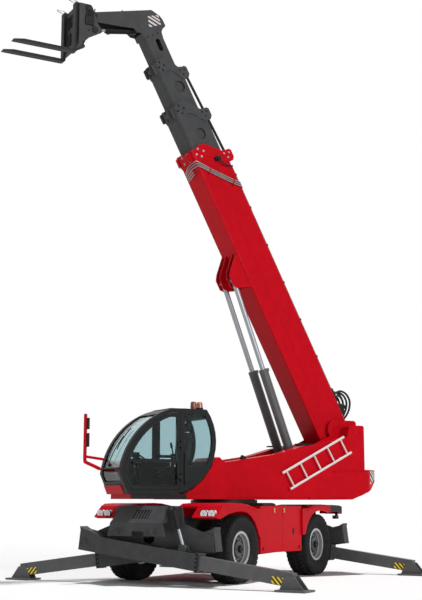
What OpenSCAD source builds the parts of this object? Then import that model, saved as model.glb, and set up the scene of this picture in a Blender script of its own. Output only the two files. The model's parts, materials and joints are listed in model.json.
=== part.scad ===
// Rotating telehandler on four outrigger legs, boom raised and partly run out.
// Millimetres. Origin on the ground under the middle of the overall box, +X chassis forward, +Y left, +Z up.

/* [Wheels] */
// distance between the axles
wheelbase = 2920; // [2800:10:3100]
// distance between the tyre centre planes of one axle
track = 2030; // [1980:5:2080]
// tyre outer diameter
tyre_d = 1150; // [1100:5:1180]
// tyre width
tyre_w = 445; // [400:5:460]
// rim diameter at the bead
bead_d = 572; // [540:1:600]
// kingpin distance from the middle
kingpin_y = 900; // [880:5:920]

/* [Chassis] */
// chassis box beyond the axle
frame_beyond = 690; // [640:10:700]
// half width of the chassis box
frame_side = 380; // [350:5:400]
// underside of the chassis box over the axles
frame_low = 800; // [780:5:830]
// top of the chassis box
frame_top = 1200; // [1180:5:1220]
// underside of the belly and the side covers
belly_low = 480; // [440:10:520]
// outer face of the side covers
cover_y = 1200; // [1150:5:1230]
// gap from the side covers to the tyres
cover_gap = 85; // [80:5:120]
// top of the side covers
cover_top = 1290; // [1260:5:1300]
// sheet thickness of the side covers
cover_t = 25; // [15:1:40]
// room between the engine and the side covers
engine_room = 200; // [150:10:300]
// slew ring outer diameter
ring_d = 1240; // [1100:10:1300]

/* [Outriggers] */
// gap from the tyres to the middle of the inner leg plane
leg_gap = 345; // [340:5:380]
// space between the plates and legs at each pivot
leg_play = 5; // [4:0.5:8]
// sideways distance of a leg pivot from the middle
leg_pivot_y = 1150; // [1120:5:1180]
// height of a leg pivot
leg_pivot_z = 680; // [660:5:700]
// fall of a leg from its pivot to its pad, degrees
leg_fall = 7.4; // [7:0.1:7.6]
// width of the outer leg beam
leg_w = 210; // [190:2:212]
// height of the outer leg beam
leg_h = 270; // [250:2:290]
// width of the inner leg beam
leg_in_w = 150; // [130:2:156]
// height of the inner leg beam
leg_in_h = 215; // [190:1:220]
// length of the outer leg beam beyond its pivot
leg_out = 2270; // [2200:10:2300]
// length of the inner leg beam's far end beyond the pivot
leg_end = 3955; // [3900:5:4000]
// overlap of the leg beams as it stands
leg_lap = 900; // [800:10:1000]
// foot pad side
pad_side = 520; // [400:10:560]

/* [Upper structure] */
// slew angle of the upper structure as it stands, degrees
slew = -30; // [-30:1:-30]
// underside of the upper structure
turret_z = 1410; // [1405:1:1440]
// inner face of the side plates
side_y = 345; // [335:1:350]
// side plate thickness
side_t = 40; // [30:1:45]
// outer face of the side boxes
box_y = 640; // [600:5:660]
// rear end of the counterweight
tail_x = -3130; // [-3200:10:-3050]
// outer face of the counterweight
wing_y = 760; // [740:5:780]

/* [Cab] */
// inner side of the cab
cab_y0 = 395; // [390:1:400]
// outer side of the cab
cab_y1 = 1215; // [1180:5:1240]
// top of the cab
cab_top = 2955; // [2900:5:3000]
// wall thickness of the cab and its door
cab_t = 55; // [45:1:60]

/* [Boom] */
// boom pivot behind the slew axis
pivot_x = -2300; // [-2350:5:-2280]
// boom pivot height
pivot_z = 2750; // [2740:5:2780]
// boom angle as it stands, degrees
boom_angle = 62; // [62:1:62]
// base section width
base_w = 580; // [560:2:590]
// base section height
base_h = 730; // [700:2:740]
// section wall thickness
boom_t = 14; // [10:1:16]
// lower corner radius of the inner sections
boom_r = 80; // [60:5:100]
// length of a collar along the boom
collar_len = 255; // [230:5:270]
// thickness of a collar's plates
collar_t = 16; // [10:1:20]
// radius of the round windows in the section sides
window_r = 115; // [90:5:120]
// step in width from one section to the next
step_w = 84; // [80:1:88]
// step in height from one section to the next
step_h = 106; // [102:1:110]
// tip of the base section from the pivot
base_tip = 6000; // [5900:10:6100]
// run out of each section as it stands
run_out = 900; // [880:5:920]
// length of an inner section
section_len = 5850; // [5700:10:5900]

/* [Lift and tilt] */
// lift cylinder spacing from the middle
lift_y = 195; // [185:1:200]
// lift barrel radius
lift_r = 82; // [70:1:85]
// lift rod radius
lift_rod_r = 48; // [40:1:55]
// tilt barrel radius
tilt_r = 52; // [45:1:55]

/* [Forks] */
// fork length
fork_len = 1210; // [1000:10:1250]
// fork spacing from the middle
fork_y = 280; // [250:5:330]
// fork width
fork_w = 130; // [100:5:140]
// fork thickness
fork_t = 50; // [40:1:60]

/* [Hidden] */
$fn = 48;
fit = 0.3;
run = 0.06;
wx = wheelbase / 2;
frame_half = wx + frame_beyond;
wy = track / 2;
axle_z = tyre_d / 2;
cover_half = wx - axle_z - cover_gap;
plate_t = 20;
leg_x_near = wx + axle_z + leg_gap;
leg_x_far = leg_x_near + leg_w + 2 * leg_play + plate_t;
lug_r = 22;
guard_z = axle_z * 2 + 195;
guard_y = wy + tyre_w / 2 - 2.5;
guard_t = 28;
tail_guard_x = wx + 1080;
lamp_y = wy + 35;
nose_y = 760;
leg_c = cos(leg_fall);
leg_s = sin(leg_fall);
leg_wall = 12;
rod_lug_s = 1930;
leg_eye = [rod_lug_s * leg_c - leg_pivot_y, leg_pivot_z - rod_lug_s * leg_s + leg_h / 2 + 63];
leg_top = [560, 1250];
plate_x = (leg_x_far + leg_x_near) / 2;
apron_x = leg_x_far + leg_w / 2 + 70;
cheek_gap = lift_rod_r + 7;
cheek_t = 28;
lift_u = 3500;
lift_w = -620;
lift_eye = [
    pivot_x + lift_u * cos(boom_angle) - lift_w * sin(boom_angle),
    pivot_z + lift_u * sin(boom_angle) + lift_w * cos(boom_angle)
];
lift_foot = [-1520, 1850];
lift_len = norm(lift_eye - lift_foot);
lift_ang = atan2(lift_eye[1] - lift_foot[1], lift_eye[0] - lift_foot[0]);
head_tip = base_tip + 2480;
neck_u = head_tip - 90;
hinge_u = base_tip + 3072;
hinge_w = -1043;
hub_r = 95;
fork_face = 380;
hinge = [
    pivot_x + hinge_u * cos(boom_angle) - hinge_w * sin(boom_angle),
    pivot_z + hinge_u * sin(boom_angle) + hinge_w * cos(boom_angle)
];
tilt_eye = [hinge[0] - 80, hinge[1] - 190];
tilt_foot = [hinge[0] - 966, hinge[1] - 21];
tilt_foot_b = [hinge_u - 966 * cos(boom_angle) - 21 * sin(boom_angle),
    hinge_w + 966 * sin(boom_angle) - 21 * cos(boom_angle)];
tilt_len = norm(tilt_eye - tilt_foot);
tilt_ang = atan2(tilt_eye[1] - tilt_foot[1], tilt_eye[0] - tilt_foot[0]);
fork_tip = hinge[0] + fork_face + fork_len;
home_x = (fork_tip * cos(slew) - (fork_y + fork_w / 2) * sin(slew) + tail_x * cos(slew) + (box_y - 160) * sin(slew)) / 2;
door_x = 1560;
door_low = 1560;
door_hinges = [1780, 2330];
cab_floor = 1640;
cab_low = 1490;
hinge_y = cab_y1 + 25;

// points of an arc about c from angle a0 to a1
function arc(c, r, a0, a1, n) = [for (i = [0:n]) c + r * [cos(a0 + (a1 - a0) * i / n), sin(a0 + (a1 - a0) * i / n)]];

// a profile drawn in X and Z, spread from y0 to y1
module slab(points, y0, y1) {
    translate([0, y1, 0])
        rotate([90, 0, 0])
            linear_extrude(y1 - y0)
                polygon(points);
}

// a block between two corners
module block(a, b) {
    translate(a)
        cube(b - a);
}

// a round bar between two heights along Y
module bar_y(x, z, r, y0, y1) {
    translate([x, y1, z])
        rotate([90, 0, 0])
            cylinder(r = r, h = y1 - y0);
}

// a round bar along X
module bar_x(y, z, r, x0, x1) {
    translate([x0, y, z])
        rotate([0, 90, 0])
            cylinder(r = r, h = x1 - x0);
}

// a round bar between two points
module rod_between(a, b, r) {
    d = b - a;
    translate(a)
        rotate([0, acos(d[2] / norm(d)), atan2(d[1], d[0])])
            cylinder(r = r, h = norm(d), $fn = 24);
}

// the ground point under the slew axis
module home() {
    translate([-home_x, 0, 0])
        children();
}

// the frame of the upper structure
module upper() {
    home()
        rotate([0, 0, slew])
            children();
}

// the frame of the boom, X along it
module along_boom() {
    upper()
        translate([pivot_x, 0, pivot_z])
            rotate([0, -boom_angle, 0])
                children();
}

// a wheel corner: front 1 or -1, left 1 or -1
module corner(front, left) {
    home()
        translate([front * wx, 0, axle_z])
            mirror([0, left > 0 ? 0 : 1, 0])
                mirror([front > 0 ? 0 : 1, 0, 0])
                    children();
}

// a leg's own frame: X along the chassis, Y along the leg from its pivot, front left as drawn
module leg_place(front, left) {
    home()
        rotate([0, 0, front > 0 ? 0 : 180])
            mirror([0, front * left > 0 ? 0 : 1, 0])
                translate([front * left > 0 ? leg_x_far : leg_x_near, 0, 0])
                    children();
}

// tilts children from level to the fall of the leg
module leg_frame() {
    translate([0, -leg_pivot_y, leg_pivot_z])
        rotate([-leg_fall, 0, 0])
            children();
}

// CHASSIS

module chassis_frame() {
    color("#3a3d40") home() {
        block([-frame_half, -frame_side, frame_low], [frame_half, frame_side, frame_top]);
        block([-760, -frame_side, belly_low], [760, frame_side, frame_low]);
        translate([0, 0, frame_top])
            cylinder(r = ring_d / 2 + 60, h = 100, $fn = 96);
    }
}

module axles() {
    color("#2b2d2f") home()
        for (front = [-1, 1])
            translate([front * wx, 0, axle_z]) {
                bar_y(0, 0, 95, -720, 720);
                bar_x(0, 0, 185, -150, 150);
                for (left = [-1, 1])
                    mirror([0, left > 0 ? 0 : 1, 0]) {
                        block([-90, 240, 0], [90, 360, frame_low - axle_z]);
                        block([-70, 690, -150], [70, 770, 150]);
                        for (up = [-1, 1])
                            block([-70, 760, up > 0 ? 120 + fit : -150], [70, kingpin_y + 70, up > 0 ? 150 : -120 - fit]);
                        translate([0, kingpin_y, -140])
                            cylinder(r = 32, h = 280);
                    }
            }
}

module engine() {
    color("#4a4d50") home()
        block([-cover_half + engine_room, frame_side, belly_low + 120],
            [cover_half - engine_room, cover_y - engine_room, cover_top - 140]);
}

module side_covers() {
    color("#c8101e") home()
        for (left = [-1, 1])
            mirror([0, left > 0 ? 0 : 1, 0])
                difference() {
                    block([-cover_half, frame_side, belly_low], [cover_half, cover_y, cover_top]);
                    block([-cover_half + cover_t, frame_side - 1, belly_low + cover_t],
                        [cover_half - cover_t, cover_y - cover_t, cover_top - cover_t]);
                    block([-45, cover_y - 6, belly_low + 60], [-35, cover_y + 1, cover_top - 60]);
                    translate([0, 0, frame_top])
                        cylinder(r = ring_d / 2 + 60 + fit, h = 200, $fn = 96);
                }
}

// front mudguard line over the tyre, d inward
function guard_front(d) = [[wx - 460, guard_z - 95 - d], [wx - 230, guard_z - 45 - d], [wx + 60, guard_z - 8 - d],
    [wx + 330, guard_z - d], [wx + 600, guard_z - 12 - d], [wx + 700 - d * 0.5, guard_z - 50 - d * 0.8], [wx + 912 - d, guard_z - 240]];

// rear mudguard line over the tyre, d inward
function guard_rear(d) = [[wx - 460, guard_z - 95 - d], [wx - 230, guard_z - 50 - d], [wx + 100, guard_z - 25 - d],
    [wx + 940, guard_z - 45 - d], [tail_guard_x - d, guard_z - 70 - d], [tail_guard_x - d, guard_z - 205]];

// wheel arch below the mudguards' lips, front side first
arch_line = [[wx + 480, axle_z + 590], [wx + 240, axle_z + 622], [wx + 60, axle_z + 628], [wx - 130, axle_z + 605],
    [wx - 280, axle_z + 540], [wx - 400, axle_z + 445], [wx - 490, axle_z + 330], [wx - 560, axle_z + 200], [wx - 615, axle_z + 190]];

function reversed(p) = [for (i = [len(p) - 1:-1:0]) p[i]];

// inner wall of a mudguard, up into the sheet that follows the line p
module guard_wall(p) {
    slab(concat([[frame_half, frame_top - 80], [wx - 460, frame_top - 80]], p, [[frame_half, guard_z - 62]]),
        frame_side, frame_side + 20);
}

module mudguards() {
    color("#c8101e") home()
        for (left = [-1, 1])
            mirror([0, left > 0 ? 0 : 1, 0]) {
                difference() {
                    slab(concat(guard_front(0), reversed(guard_front(guard_t))), frame_side + 10, guard_y);
                    block([wx + 710, 0, 1000], [wx + 1200, nose_y, guard_z + 50]);
                }
                slab(concat(guard_front(0), [[wx + 790, guard_z - 265]], arch_line, [[wx - 665, axle_z + 190], [wx - 665, guard_z - 105]]),
                    guard_y - 28, guard_y);
                slab([[wx + 640, guard_z - 45], [wx + 880, guard_z - 225], [wx + 800, guard_z - 265], [wx + 660, guard_z - 190]],
                    nose_y, guard_y);
                guard_wall([for (i = [0:4]) guard_front(14)[i]]);
                mirror([1, 0, 0]) {
                    difference() {
                        slab(concat(guard_rear(0), reversed(guard_rear(guard_t))), frame_side + 10, guard_y);
                        block([wx + 740, 0, 1000], [wx + 1200, nose_y, guard_z + 50]);
                    }
                    slab(concat(guard_rear(0), [[tail_guard_x - 200, guard_z - 160]], arch_line,
                        [[wx - 665, axle_z + 190], [wx - 665, guard_z - 105]]), guard_y - 28, guard_y);
                    guard_wall([for (i = [0:2]) guard_rear(14)[i]]);
                }
            }
}

module lamps() {
    color("#d8dcd8") home()
        for (left = [-1, 1])
            mirror([0, left > 0 ? 0 : 1, 0]) {
                difference() {
                    for (y = [lamp_y - 75, lamp_y + 75])
                        bar_x(y, guard_z - 180, 62, wx + 790, wx + 885);
                    slab(concat(guard_front(0), [[wx + 840, 1000], [wx - 460, 1000]]), 800, 1300);
                }
                translate([-tail_guard_x - 30, lamp_y - 170, guard_z - 205])
                    cube([30, 320, 125]);
            }
}

// one outrigger frame at the front
module outrigger_frame() {
    // plate between the two leg planes
    difference() {
        translate([plate_x + plate_t / 2, 0, 0])
            rotate([0, -90, 0])
                linear_extrude(plate_t)
                    polygon([[560, -leg_pivot_y - 110], [800, -leg_pivot_y - 110], [1000, -700], [1280, -660],
                        [1280, 660], [1000, 700], [800, leg_pivot_y + 110], [560, leg_pivot_y + 110]]);
        bar_x(0, 780, 120, plate_x - 100, plate_x + 100);
    }
    // upper box from the chassis
    block([frame_half, -frame_side, 1010], [plate_x - plate_t / 2, frame_side, 1270]);
    slab([[plate_x + plate_t / 2, 1010], [apron_x - 40, 1010], [plate_x + plate_t / 2, 1268]], -400, 400);
    block([frame_half, -frame_side, 850], [leg_x_near - leg_w / 2 - 35, frame_side, 1010]);
    // pins of the legs
    bar_x(-leg_pivot_y, leg_pivot_z, 38, plate_x, leg_x_far + 150);
    bar_x(leg_pivot_y, leg_pivot_z, 38, leg_x_near - 150, plate_x);
    // pins of the leg cylinders
    bar_x(leg_top[0], leg_top[1], 25, plate_x, leg_x_far + 70);
    bar_x(-leg_top[0], leg_top[1], 25, leg_x_near - 70, plate_x);
    // tie-down lugs
    for (y = [-420, 300])
        difference() {
            slab(concat([[apron_x - 5, 820]], arc([apron_x + 50, 865], 45, -90, 90, 10), [[apron_x - 5, 910]]), y - 15, y + 15);
            bar_y(apron_x + 50, 865, lug_r, y - 50, y + 50);
        }
    // sloping cover
    difference() {
        slab([[plate_x, 1295], [plate_x + 35, 1295], [apron_x, 1020], [apron_x, 800], [apron_x - 35, 800],
            [apron_x - 35, 1005], [plate_x + 10, 1270]], -640, 500);
        for (side = [-1, 1])
            translate([plate_x - 100, side > 0 ? 500 : -640, 800])
                rotate([side * 14, 0, 0])
                    block([0, side > 0 ? 0 : -400, -50], [500, side > 0 ? 400 : 0, 700]);
        // grille recess with bars, and a notch over the middle
        difference() {
            block([plate_x + 60, -190, 1080], [apron_x, 130, 1230]);
            for (y = [-150:60:90])
                block([plate_x, y, 1000], [apron_x, y + 18, 1300]);
        }
        slab([[apron_x - 100, 790], [apron_x + 10, 790], [apron_x + 10, 880], [apron_x - 100, 880]], -160, 90);
    }
}

module outrigger_frames() {
    color("#3a3d40") home()
        for (end = [0, 180])
            rotate([0, 0, end])
                outrigger_frame();
}

module slew_ring() {
    color("#3a3d40") home()
        difference() {
            translate([0, 0, frame_top + 100])
                cylinder(r = ring_d / 2, h = 100, $fn = 96);
            cylinder(r = ring_d / 2 - 180, h = 1500, $fn = 96);
        }
}

// WHEELS

module knuckle() {
    color("#2b2d2f")
        difference() {
            union() {
                translate([0, kingpin_y, -120])
                    cylinder(r = 70, h = 240);
                bar_y(0, 0, 105, kingpin_y, 1030);
                bar_y(0, 0, 55, kingpin_y, 1120);
            }
            translate([0, kingpin_y, -200])
                cylinder(r = 32 + run, h = 400);
        }
}

module rim() {
    color("#9a9ea2")
        translate([0, wy, 0])
            rotate([-90, 0, 0])
                difference() {
                    rotate_extrude($fn = 72)
                        polygon([[55 + run, 20], [130, 20], [150, 50], [225, 60], [262, 30], [262, -170], [bead_d / 2 + 12, -170],
                            [bead_d / 2 + 12, -150], [bead_d / 2 - 12, -150], [bead_d / 2 - 12, 150], [bead_d / 2 + 12, 150],
                            [bead_d / 2 + 12, 170], [255, 170], [262, 90], [225, 85], [150, 78], [135, 130], [60, 145],
                            [0, 145], [0, 110], [55 + run, 110]]);
                    for (i = [0:9])
                        rotate([0, 0, i * 36])
                            translate([200, 0, 40])
                                cylinder(r = 20, h = 70, $fn = 20);
                }
}

module tyre() {
    color("#1a1a1a")
        translate([0, wy, 0])
            rotate([-90, 0, 0])
                rotate_extrude($fn = 96)
                        polygon([[bead_d / 2 - 12 + fit, -149.7], [bead_d / 2 + 12 + fit, -149.7],
                            [bead_d / 2 + 12 + fit, -172], [400, -tyre_w / 2], [500, -tyre_w / 2 + 4],
                            [tyre_d / 2 - 22, -tyre_w / 2 + 26], [tyre_d / 2 - 4, -tyre_w / 2 + 60], [tyre_d / 2, 0],
                            [tyre_d / 2 - 4, tyre_w / 2 - 60], [tyre_d / 2 - 22, tyre_w / 2 - 26], [500, tyre_w / 2 - 4],
                            [400, tyre_w / 2], [bead_d / 2 + 12 + fit, 172], [bead_d / 2 + 12 + fit, 149.7],
                            [bead_d / 2 - 12 + fit, 149.7]]);
}

module knuckle_fl() { corner(1, 1) knuckle(); }
module knuckle_fr() { corner(1, -1) knuckle(); }
module knuckle_rl() { corner(-1, 1) knuckle(); }
module knuckle_rr() { corner(-1, -1) knuckle(); }
module rim_fl() { corner(1, 1) rim(); }
module rim_fr() { corner(1, -1) rim(); }
module rim_rl() { corner(-1, 1) rim(); }
module rim_rr() { corner(-1, -1) rim(); }
module tyre_fl() { corner(1, 1) tyre(); }
module tyre_fr() { corner(1, -1) tyre(); }
module tyre_rl() { corner(-1, 1) tyre(); }
module tyre_rr() { corner(-1, -1) tyre(); }

// UPPER STRUCTURE

// side line of the upper structure
side_line = concat([[1150, turret_z + 40], [1150, 1700], [380, 2065], [-810, 2245], [-1360, 2400], [-1800, 2465]],
    arc([pivot_x, pivot_z], 190, -40, 90, 8), [[-2740, 2940], [-2780, 2900], [-2780, 1980], [-2450, turret_z + 40]]);
// side line of the boxes
box_line = [[640, turret_z + 40], [640, 1945], [380, 2065], [-810, 2245], [-1360, 2400], [-1800, 2465], [-2380, 2605],
    [-2430, 2800], [-2460, 2830], [-2750, 2830], [-2780, 2800], [-2780, 1980], [-2450, turret_z + 40]];

module turret_frame() {
    color("#c8101e")
        upper() {
            translate([0, 0, frame_top + 200 + fit])
                cylinder(r = ring_d / 2 - 40, h = turret_z - frame_top - 200 - fit, $fn = 96);
            block([-2450, -620, turret_z], [640, 620, turret_z + 40]);
            block([640, -620, turret_z], [1150, side_y + side_t, turret_z + 40]);
            for (left = [-1, 1])
                mirror([0, left > 0 ? 0 : 1, 0]) {
                    slab(side_line, side_y, side_y + side_t);
                    slab(box_line, side_y + side_t, box_y);
                    // lift cylinder ears on the floor
                    for (y = [lift_y - 125, lift_y + 85])
                        slab([[-1700, turret_z + 40], [-1340, turret_z + 40], [-1430, 1900], [-1470, 1940], [-1570, 1940],
                            [-1610, 1900]], y, y + 40);
                }
            bar_y(lift_foot[0], lift_foot[1], 45, -lift_y - 130, lift_y + 130);
            bar_y(pivot_x, pivot_z, 60, -side_y - side_t - 6, side_y + side_t + 6);
            block([-2780, -side_y, 1981], [-2742, side_y, 2600]);
            block([-2742, -side_y, 1940], [-2700, side_y, 2100]);
            block([-2745, -side_y, 1940], [-2450, side_y, 1980]);
        }
}

// the swelling of the counterweight outside a box, left as drawn
module wing() {
    difference() {
        slab(concat([[-2450, turret_z], [-1480, turret_z]], arc([-2200, 1200], 745, 18, 84, 12), [[tail_x, 1940], [tail_x, 1760],
            [-2960, 1600], [-2700, 1490]]), box_y, wing_y);
        // slanted front, top and underside
        translate([-1430, box_y, 0])
            rotate([0, 0, -13])
                block([-900, 0, 1300], [900, 500, 2100]);
        translate([0, box_y + 40, 1942])
            rotate([-48, 0, 0])
                block([-3300, 0, -400], [-1300, 300, 400]);
        translate([0, box_y + 30, turret_z])
            rotate([35, 0, 0])
                block([-3300, 0, -400], [-1300, 300, 400]);
    }
}

module counterweight() {
    color("#c8101e")
        upper()
            difference() {
                union() {
                    slab([[-2450, turret_z + 40], [-2780, 1980], [tail_x, 1980], [tail_x, 1760], [-2960, 1600], [-2700, 1490],
                        [-2450, turret_z]], -box_y, box_y);
                    for (left = [-1, 1])
                        mirror([0, left > 0 ? 0 : 1, 0])
                            wing();
                }
                for (left = [-1, 1])
                    translate([tail_x, left * (box_y - 160), 1300])
                        rotate([0, 0, left * 32])
                            block([-400, left > 0 ? 0 : -400, 0], [700, left > 0 ? 400 : 0, 800]);
            }
}

module ladder() {
    a = [-1017, 1600];
    b = [-847, 1890];
    d = [-1400, 705];
    color("#d8d8d4")
        upper() {
            for (p = [a, b])
                rod_between([p[0], 710, p[1]], [p[0] + d[0], 710, p[1] + d[1]], 22);
            for (i = [0:4]) {
                k = 0.06 + 0.22 * i;
                rod_between([a[0] + k * d[0], 710, a[1] + k * d[1]], [b[0] + k * d[0], 710, b[1] + k * d[1]], 16);
            }
            for (p = [a, b])
                for (k = [0.15, 0.85])
                    bar_y(p[0] + k * d[0], p[1] + k * d[1], 14, box_y, 710, $fn = 24);
        }
}

// CAB

// cab side outline, d inward
function cab_line(d) = concat(
    arc([1760, 2400], 910 - d, 270, 180 - asin((cab_top - 2400 - d) / (910 - d)), 14),
    arc([1360, 1650], 1350 - d, asin((cab_top - 1650 - d) / (1350 - d)), 8, 14),
    [[2545 - d * 0.8, cab_low + d]]
);

module cab_slab(d, y0, y1) {
    slab(cab_line(d), y0, y1);
}

module cab_base() {
    color("#c8101e")
        upper() {
            block([640, side_y + side_t, turret_z], [2480, cab_y1 - 25, cab_low]);
            slab(concat([[640, cab_low], [1440, cab_low], [1290, 1575], [1080, 1735], [905, 1970], [845, 2095]],
                arc([775, 2060], 78, 26, 150, 6), [[640, 2060]]), cab_y0, cab_y1 - 60);
            // skirt under the front window
            difference() {
                slab([[2380, cab_low], [2560, cab_low], [2625, 1640], [2500, 1640]], cab_y0 + 6, cab_y1 - 130);
                cab_slab(-fit, cab_y0 - 10, cab_y1 + 10);
            }
        }
}

// window openings in the cab shell
module cab_openings() {
    // front
    block([1850, cab_y0 + 75, 1700], [2900, cab_y1 - 75, 2850]);
    // rear
    block([700, cab_y0 + 75, 2060], [1150, cab_y1 - 75, 2800]);
    // right side
    intersection() {
        cab_slab(85, cab_y0 - 1, cab_y0 + 100);
        block([700, cab_y0 - 2, 1960], [2900, cab_y0 + 101, 2900]);
    }
    // left quarter
    intersection() {
        cab_slab(85, cab_y1 - 100, cab_y1 + 1);
        block([700, cab_y1 - 101, 1960], [1470, cab_y1 + 2, 2900]);
    }
}

// roof, rear, front and floor between the side frames
module cab_shell() {
    color("#39443f")
        upper() {
            difference() {
                cab_slab(0, cab_y0 + cab_t, cab_y1 - cab_t);
                cab_slab(cab_t, cab_y0, cab_y1);
                cab_openings();
            }
            intersection() {
                cab_slab(10, cab_y0 + cab_t, cab_y1 - cab_t);
                block([1380, cab_y0 + cab_t, cab_low], [2480, cab_y1 - cab_t, cab_floor]);
            }
        }
}

module cab_side_right() {
    color("#39443f")
        upper()
            difference() {
                cab_slab(0, cab_y0, cab_y0 + cab_t);
                cab_openings();
            }
}

module cab_side_left() {
    color("#39443f")
        upper() {
            difference() {
                cab_slab(0, cab_y1 - cab_t, cab_y1);
                cab_openings();
                // doorway
                intersection() {
                    cab_slab(70, cab_y1 - 100, cab_y1 + 1);
                    block([door_x, cab_y1 - 101, door_low], [2900, cab_y1 + 2, 2900]);
                }
            }
            // hinge ears and pins
            for (z = door_hinges) {
                for (e = [-60, 40])
                    block([door_x - 35, cab_y1, z + e], [door_x + 5, hinge_y + 20, z + e + 20]);
                translate([door_x - 15, hinge_y, z - 60])
                    cylinder(r = 9, h = 120, $fn = 24);
            }
        }
}

module cab_glazing() {
    color("#9fc6cc")
        upper() {
            intersection() {
                difference() {
                    cab_slab(20, cab_y0 + 1, cab_y1 - 1);
                    cab_slab(28, cab_y0, cab_y1);
                }
                union() {
                    block([1850, cab_y0 + 75, 1700], [2900, cab_y1 - 75, 2850]);
                    block([700, cab_y0 + 75, 2060], [1150, cab_y1 - 75, 2800]);
                }
            }
            intersection() {
                cab_slab(85, cab_y0 + 22, cab_y0 + 30);
                block([700, cab_y0, 1960], [2900, cab_y0 + 50, 2900]);
            }
            intersection() {
                cab_slab(85, cab_y1 - 30, cab_y1 - 22);
                block([700, cab_y1 - 50, 1960], [1470, cab_y1, 2900]);
            }
        }
}

// door outline, d inward of the doorway's edge
module door_slab(d, y0, y1) {
    intersection() {
        cab_slab(70 + d, y0, y1);
        block([door_x + d, y0 - 1, door_low + d], [2900, y1 + 1, 2900]);
    }
}

module door_frame() {
    color("#39443f")
        upper()
            difference() {
                union() {
                    difference() {
                        door_slab(6, cab_y1 - cab_t, cab_y1);
                        difference() {
                            door_slab(62, cab_y1 - 100, cab_y1 + 100);
                            block([1500, cab_y1 - 101, 2030], [2900, cab_y1 + 101, 2080]);
                        }
                    }
                    for (z = door_hinges) {
                        translate([door_x - 15, hinge_y, z - 34])
                            cylinder(r = 18, h = 68, $fn = 32);
                        block([door_x - 15, hinge_y, z - 34], [door_x + 60, hinge_y + 16, z + 34]);
                        block([door_x + 30, cab_y1, z - 34], [door_x + 60, hinge_y + 16, z + 34]);
                    }
                }
                translate([door_x - 15, hinge_y, 1600])
                    cylinder(r = 9 + run, h = 1000, $fn = 24);
            }
}

module door_glass() {
    color("#9fc6cc")
        upper()
            difference() {
                door_slab(62, cab_y1 - 32, cab_y1 - 24);
                block([1500, cab_y1 - 101, 2030], [2900, cab_y1 + 101, 2080]);
            }
}

module seat() {
    color("#26282a")
        upper() {
            block([1420, 640, cab_floor], [1720, 980, 1850]);
            block([1270, 560, 1850], [1790, 1060, 1970]);
            slab([[1270, 1970], [1390, 1970], [1310, 2560], [1210, 2560]], 570, 1050);
            slab([[1215, 2580], [1290, 2580], [1270, 2740], [1200, 2740]], 690, 930);
            for (y = [750, 850])
                block([1235, y, 2540], [1260, y + 20, 2600]);
        }
}

module console() {
    color("#2c2f31")
        upper() {
            slab([[2260, cab_floor], [2420, cab_floor], [2330, 2050], [2180, 2130], [2150, 2090], [2270, 1990]], 730, 890);
            block([1420, cab_y0 + cab_t, cab_floor], [2050, 555, 2080]);
            translate([2160, 810, 2110])
                rotate([0, -32, 0])
                    rotate_extrude($fn = 40)
                        translate([165, 0])
                            circle(r = 14, $fn = 16);
            translate([2160, 810, 2110])
                rotate([0, -32, 0]) {
                    cylinder(r = 30, h = 20, center = true, $fn = 24);
                    for (i = [0:2])
                        rotate([0, 0, i * 120])
                            translate([0, -12, -6])
                                cube([160, 24, 12]);
                }
        }
}

module mirrors() {
    color("#c8101e")
        upper() {
            difference() {
                union() {
                    rod_between([2665, 440, 1900], [3000, 440, 2040], 18);
                    rod_between([2600, 440, 2080], [3000, 440, 2130], 18);
                }
                cab_slab(-fit, cab_y0 - 10, cab_y1);
            }
            rod_between([3000, 440, 2010], [3000, 440, 2850], 18);
            block([2960, 380, 2300], [2980, 520, 2520]);
            block([2978, 425, 2390], [3000, 455, 2430]);
            block([2960, 380, 2600], [2980, 520, 2780]);
            block([2978, 425, 2670], [3000, 455, 2710]);
        }
}

module beacon() {
    color("#e0861a")
        upper()
            translate([1080, 800, cab_top]) {
                cylinder(r = 62, h = 30);
                translate([0, 0, 30])
                    cylinder(r1 = 55, r2 = 48, h = 130);
            }
}

// LIFT CYLINDERS

// the frame of the lift cylinders, X along them
module along_lift() {
    upper()
        translate([lift_foot[0], 0, lift_foot[1]])
            rotate([0, -lift_ang, 0])
                children();
}

module lift_barrels() {
    color("#2b2d2f")
        along_lift()
            for (y = [-lift_y, lift_y])
                difference() {
                    union() {
                        bar_x(y, 0, lift_r, 120, 2150);
                        bar_y(0, 0, 95, y - 45, y + 45);
                        block([0, y - 45, -70], [130, y + 45, 70]);
                    }
                    bar_y(0, 0, 45 + run, y - 100, y + 100);
                    bar_x(y, 0, lift_r - 14, 180, 2060);
                    bar_x(y, 0, lift_rod_r + fit, 2000, 2200);
                }
}

module lift_rods() {
    color("#d8dadc")
        along_lift()
            for (y = [-lift_y, lift_y]) {
                bar_x(y, 0, lift_rod_r, 1690, lift_len - 40);
                bar_x(y, 0, lift_r - 14 - fit, 1640, 1700);
                bar_y(lift_len, 0, 62, y - lift_rod_r, y + lift_rod_r);
            }
}

// BOOM

// width and height of section i
function wide(i) = base_w - i * step_w;
function high(i) = base_h - i * step_h;

// cross outline of a section, d inward, in Y and Z
function tube_line(i, d) = let (y = wide(i) / 2 - d, z = high(i) / 2 - d, r = (i > 0 ? boom_r : 30) - d, k = 24 - d)
    concat(
        arc([-y + r, -z + r], r, 180, 270, 4), arc([y - r, -z + r], r, 270, 360, 4),
        [[y, z - k], [y - k, z], [-y + k, z], [-y, z - k]]
    );

// a prism of that outline between two places along the boom
module tube(i, d, u0, u1) {
    translate([u0, 0, 0])
        rotate([90, 0, 90])
            linear_extrude(u1 - u0)
                polygon(tube_line(i, d));
}

// slanted front edge of section i, from its lower to its upper side
function tip_line(i, tip) = let (h = high(i) / 2) concat(
    [[tip + 85, -h - 200], [tip + 85, -h]],
    arc([tip - 100, -0.35 * h], 220, -35, 40, 6),
    [[tip - 145, 0.75 * h], [tip - 160, h + 200]]
);

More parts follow.
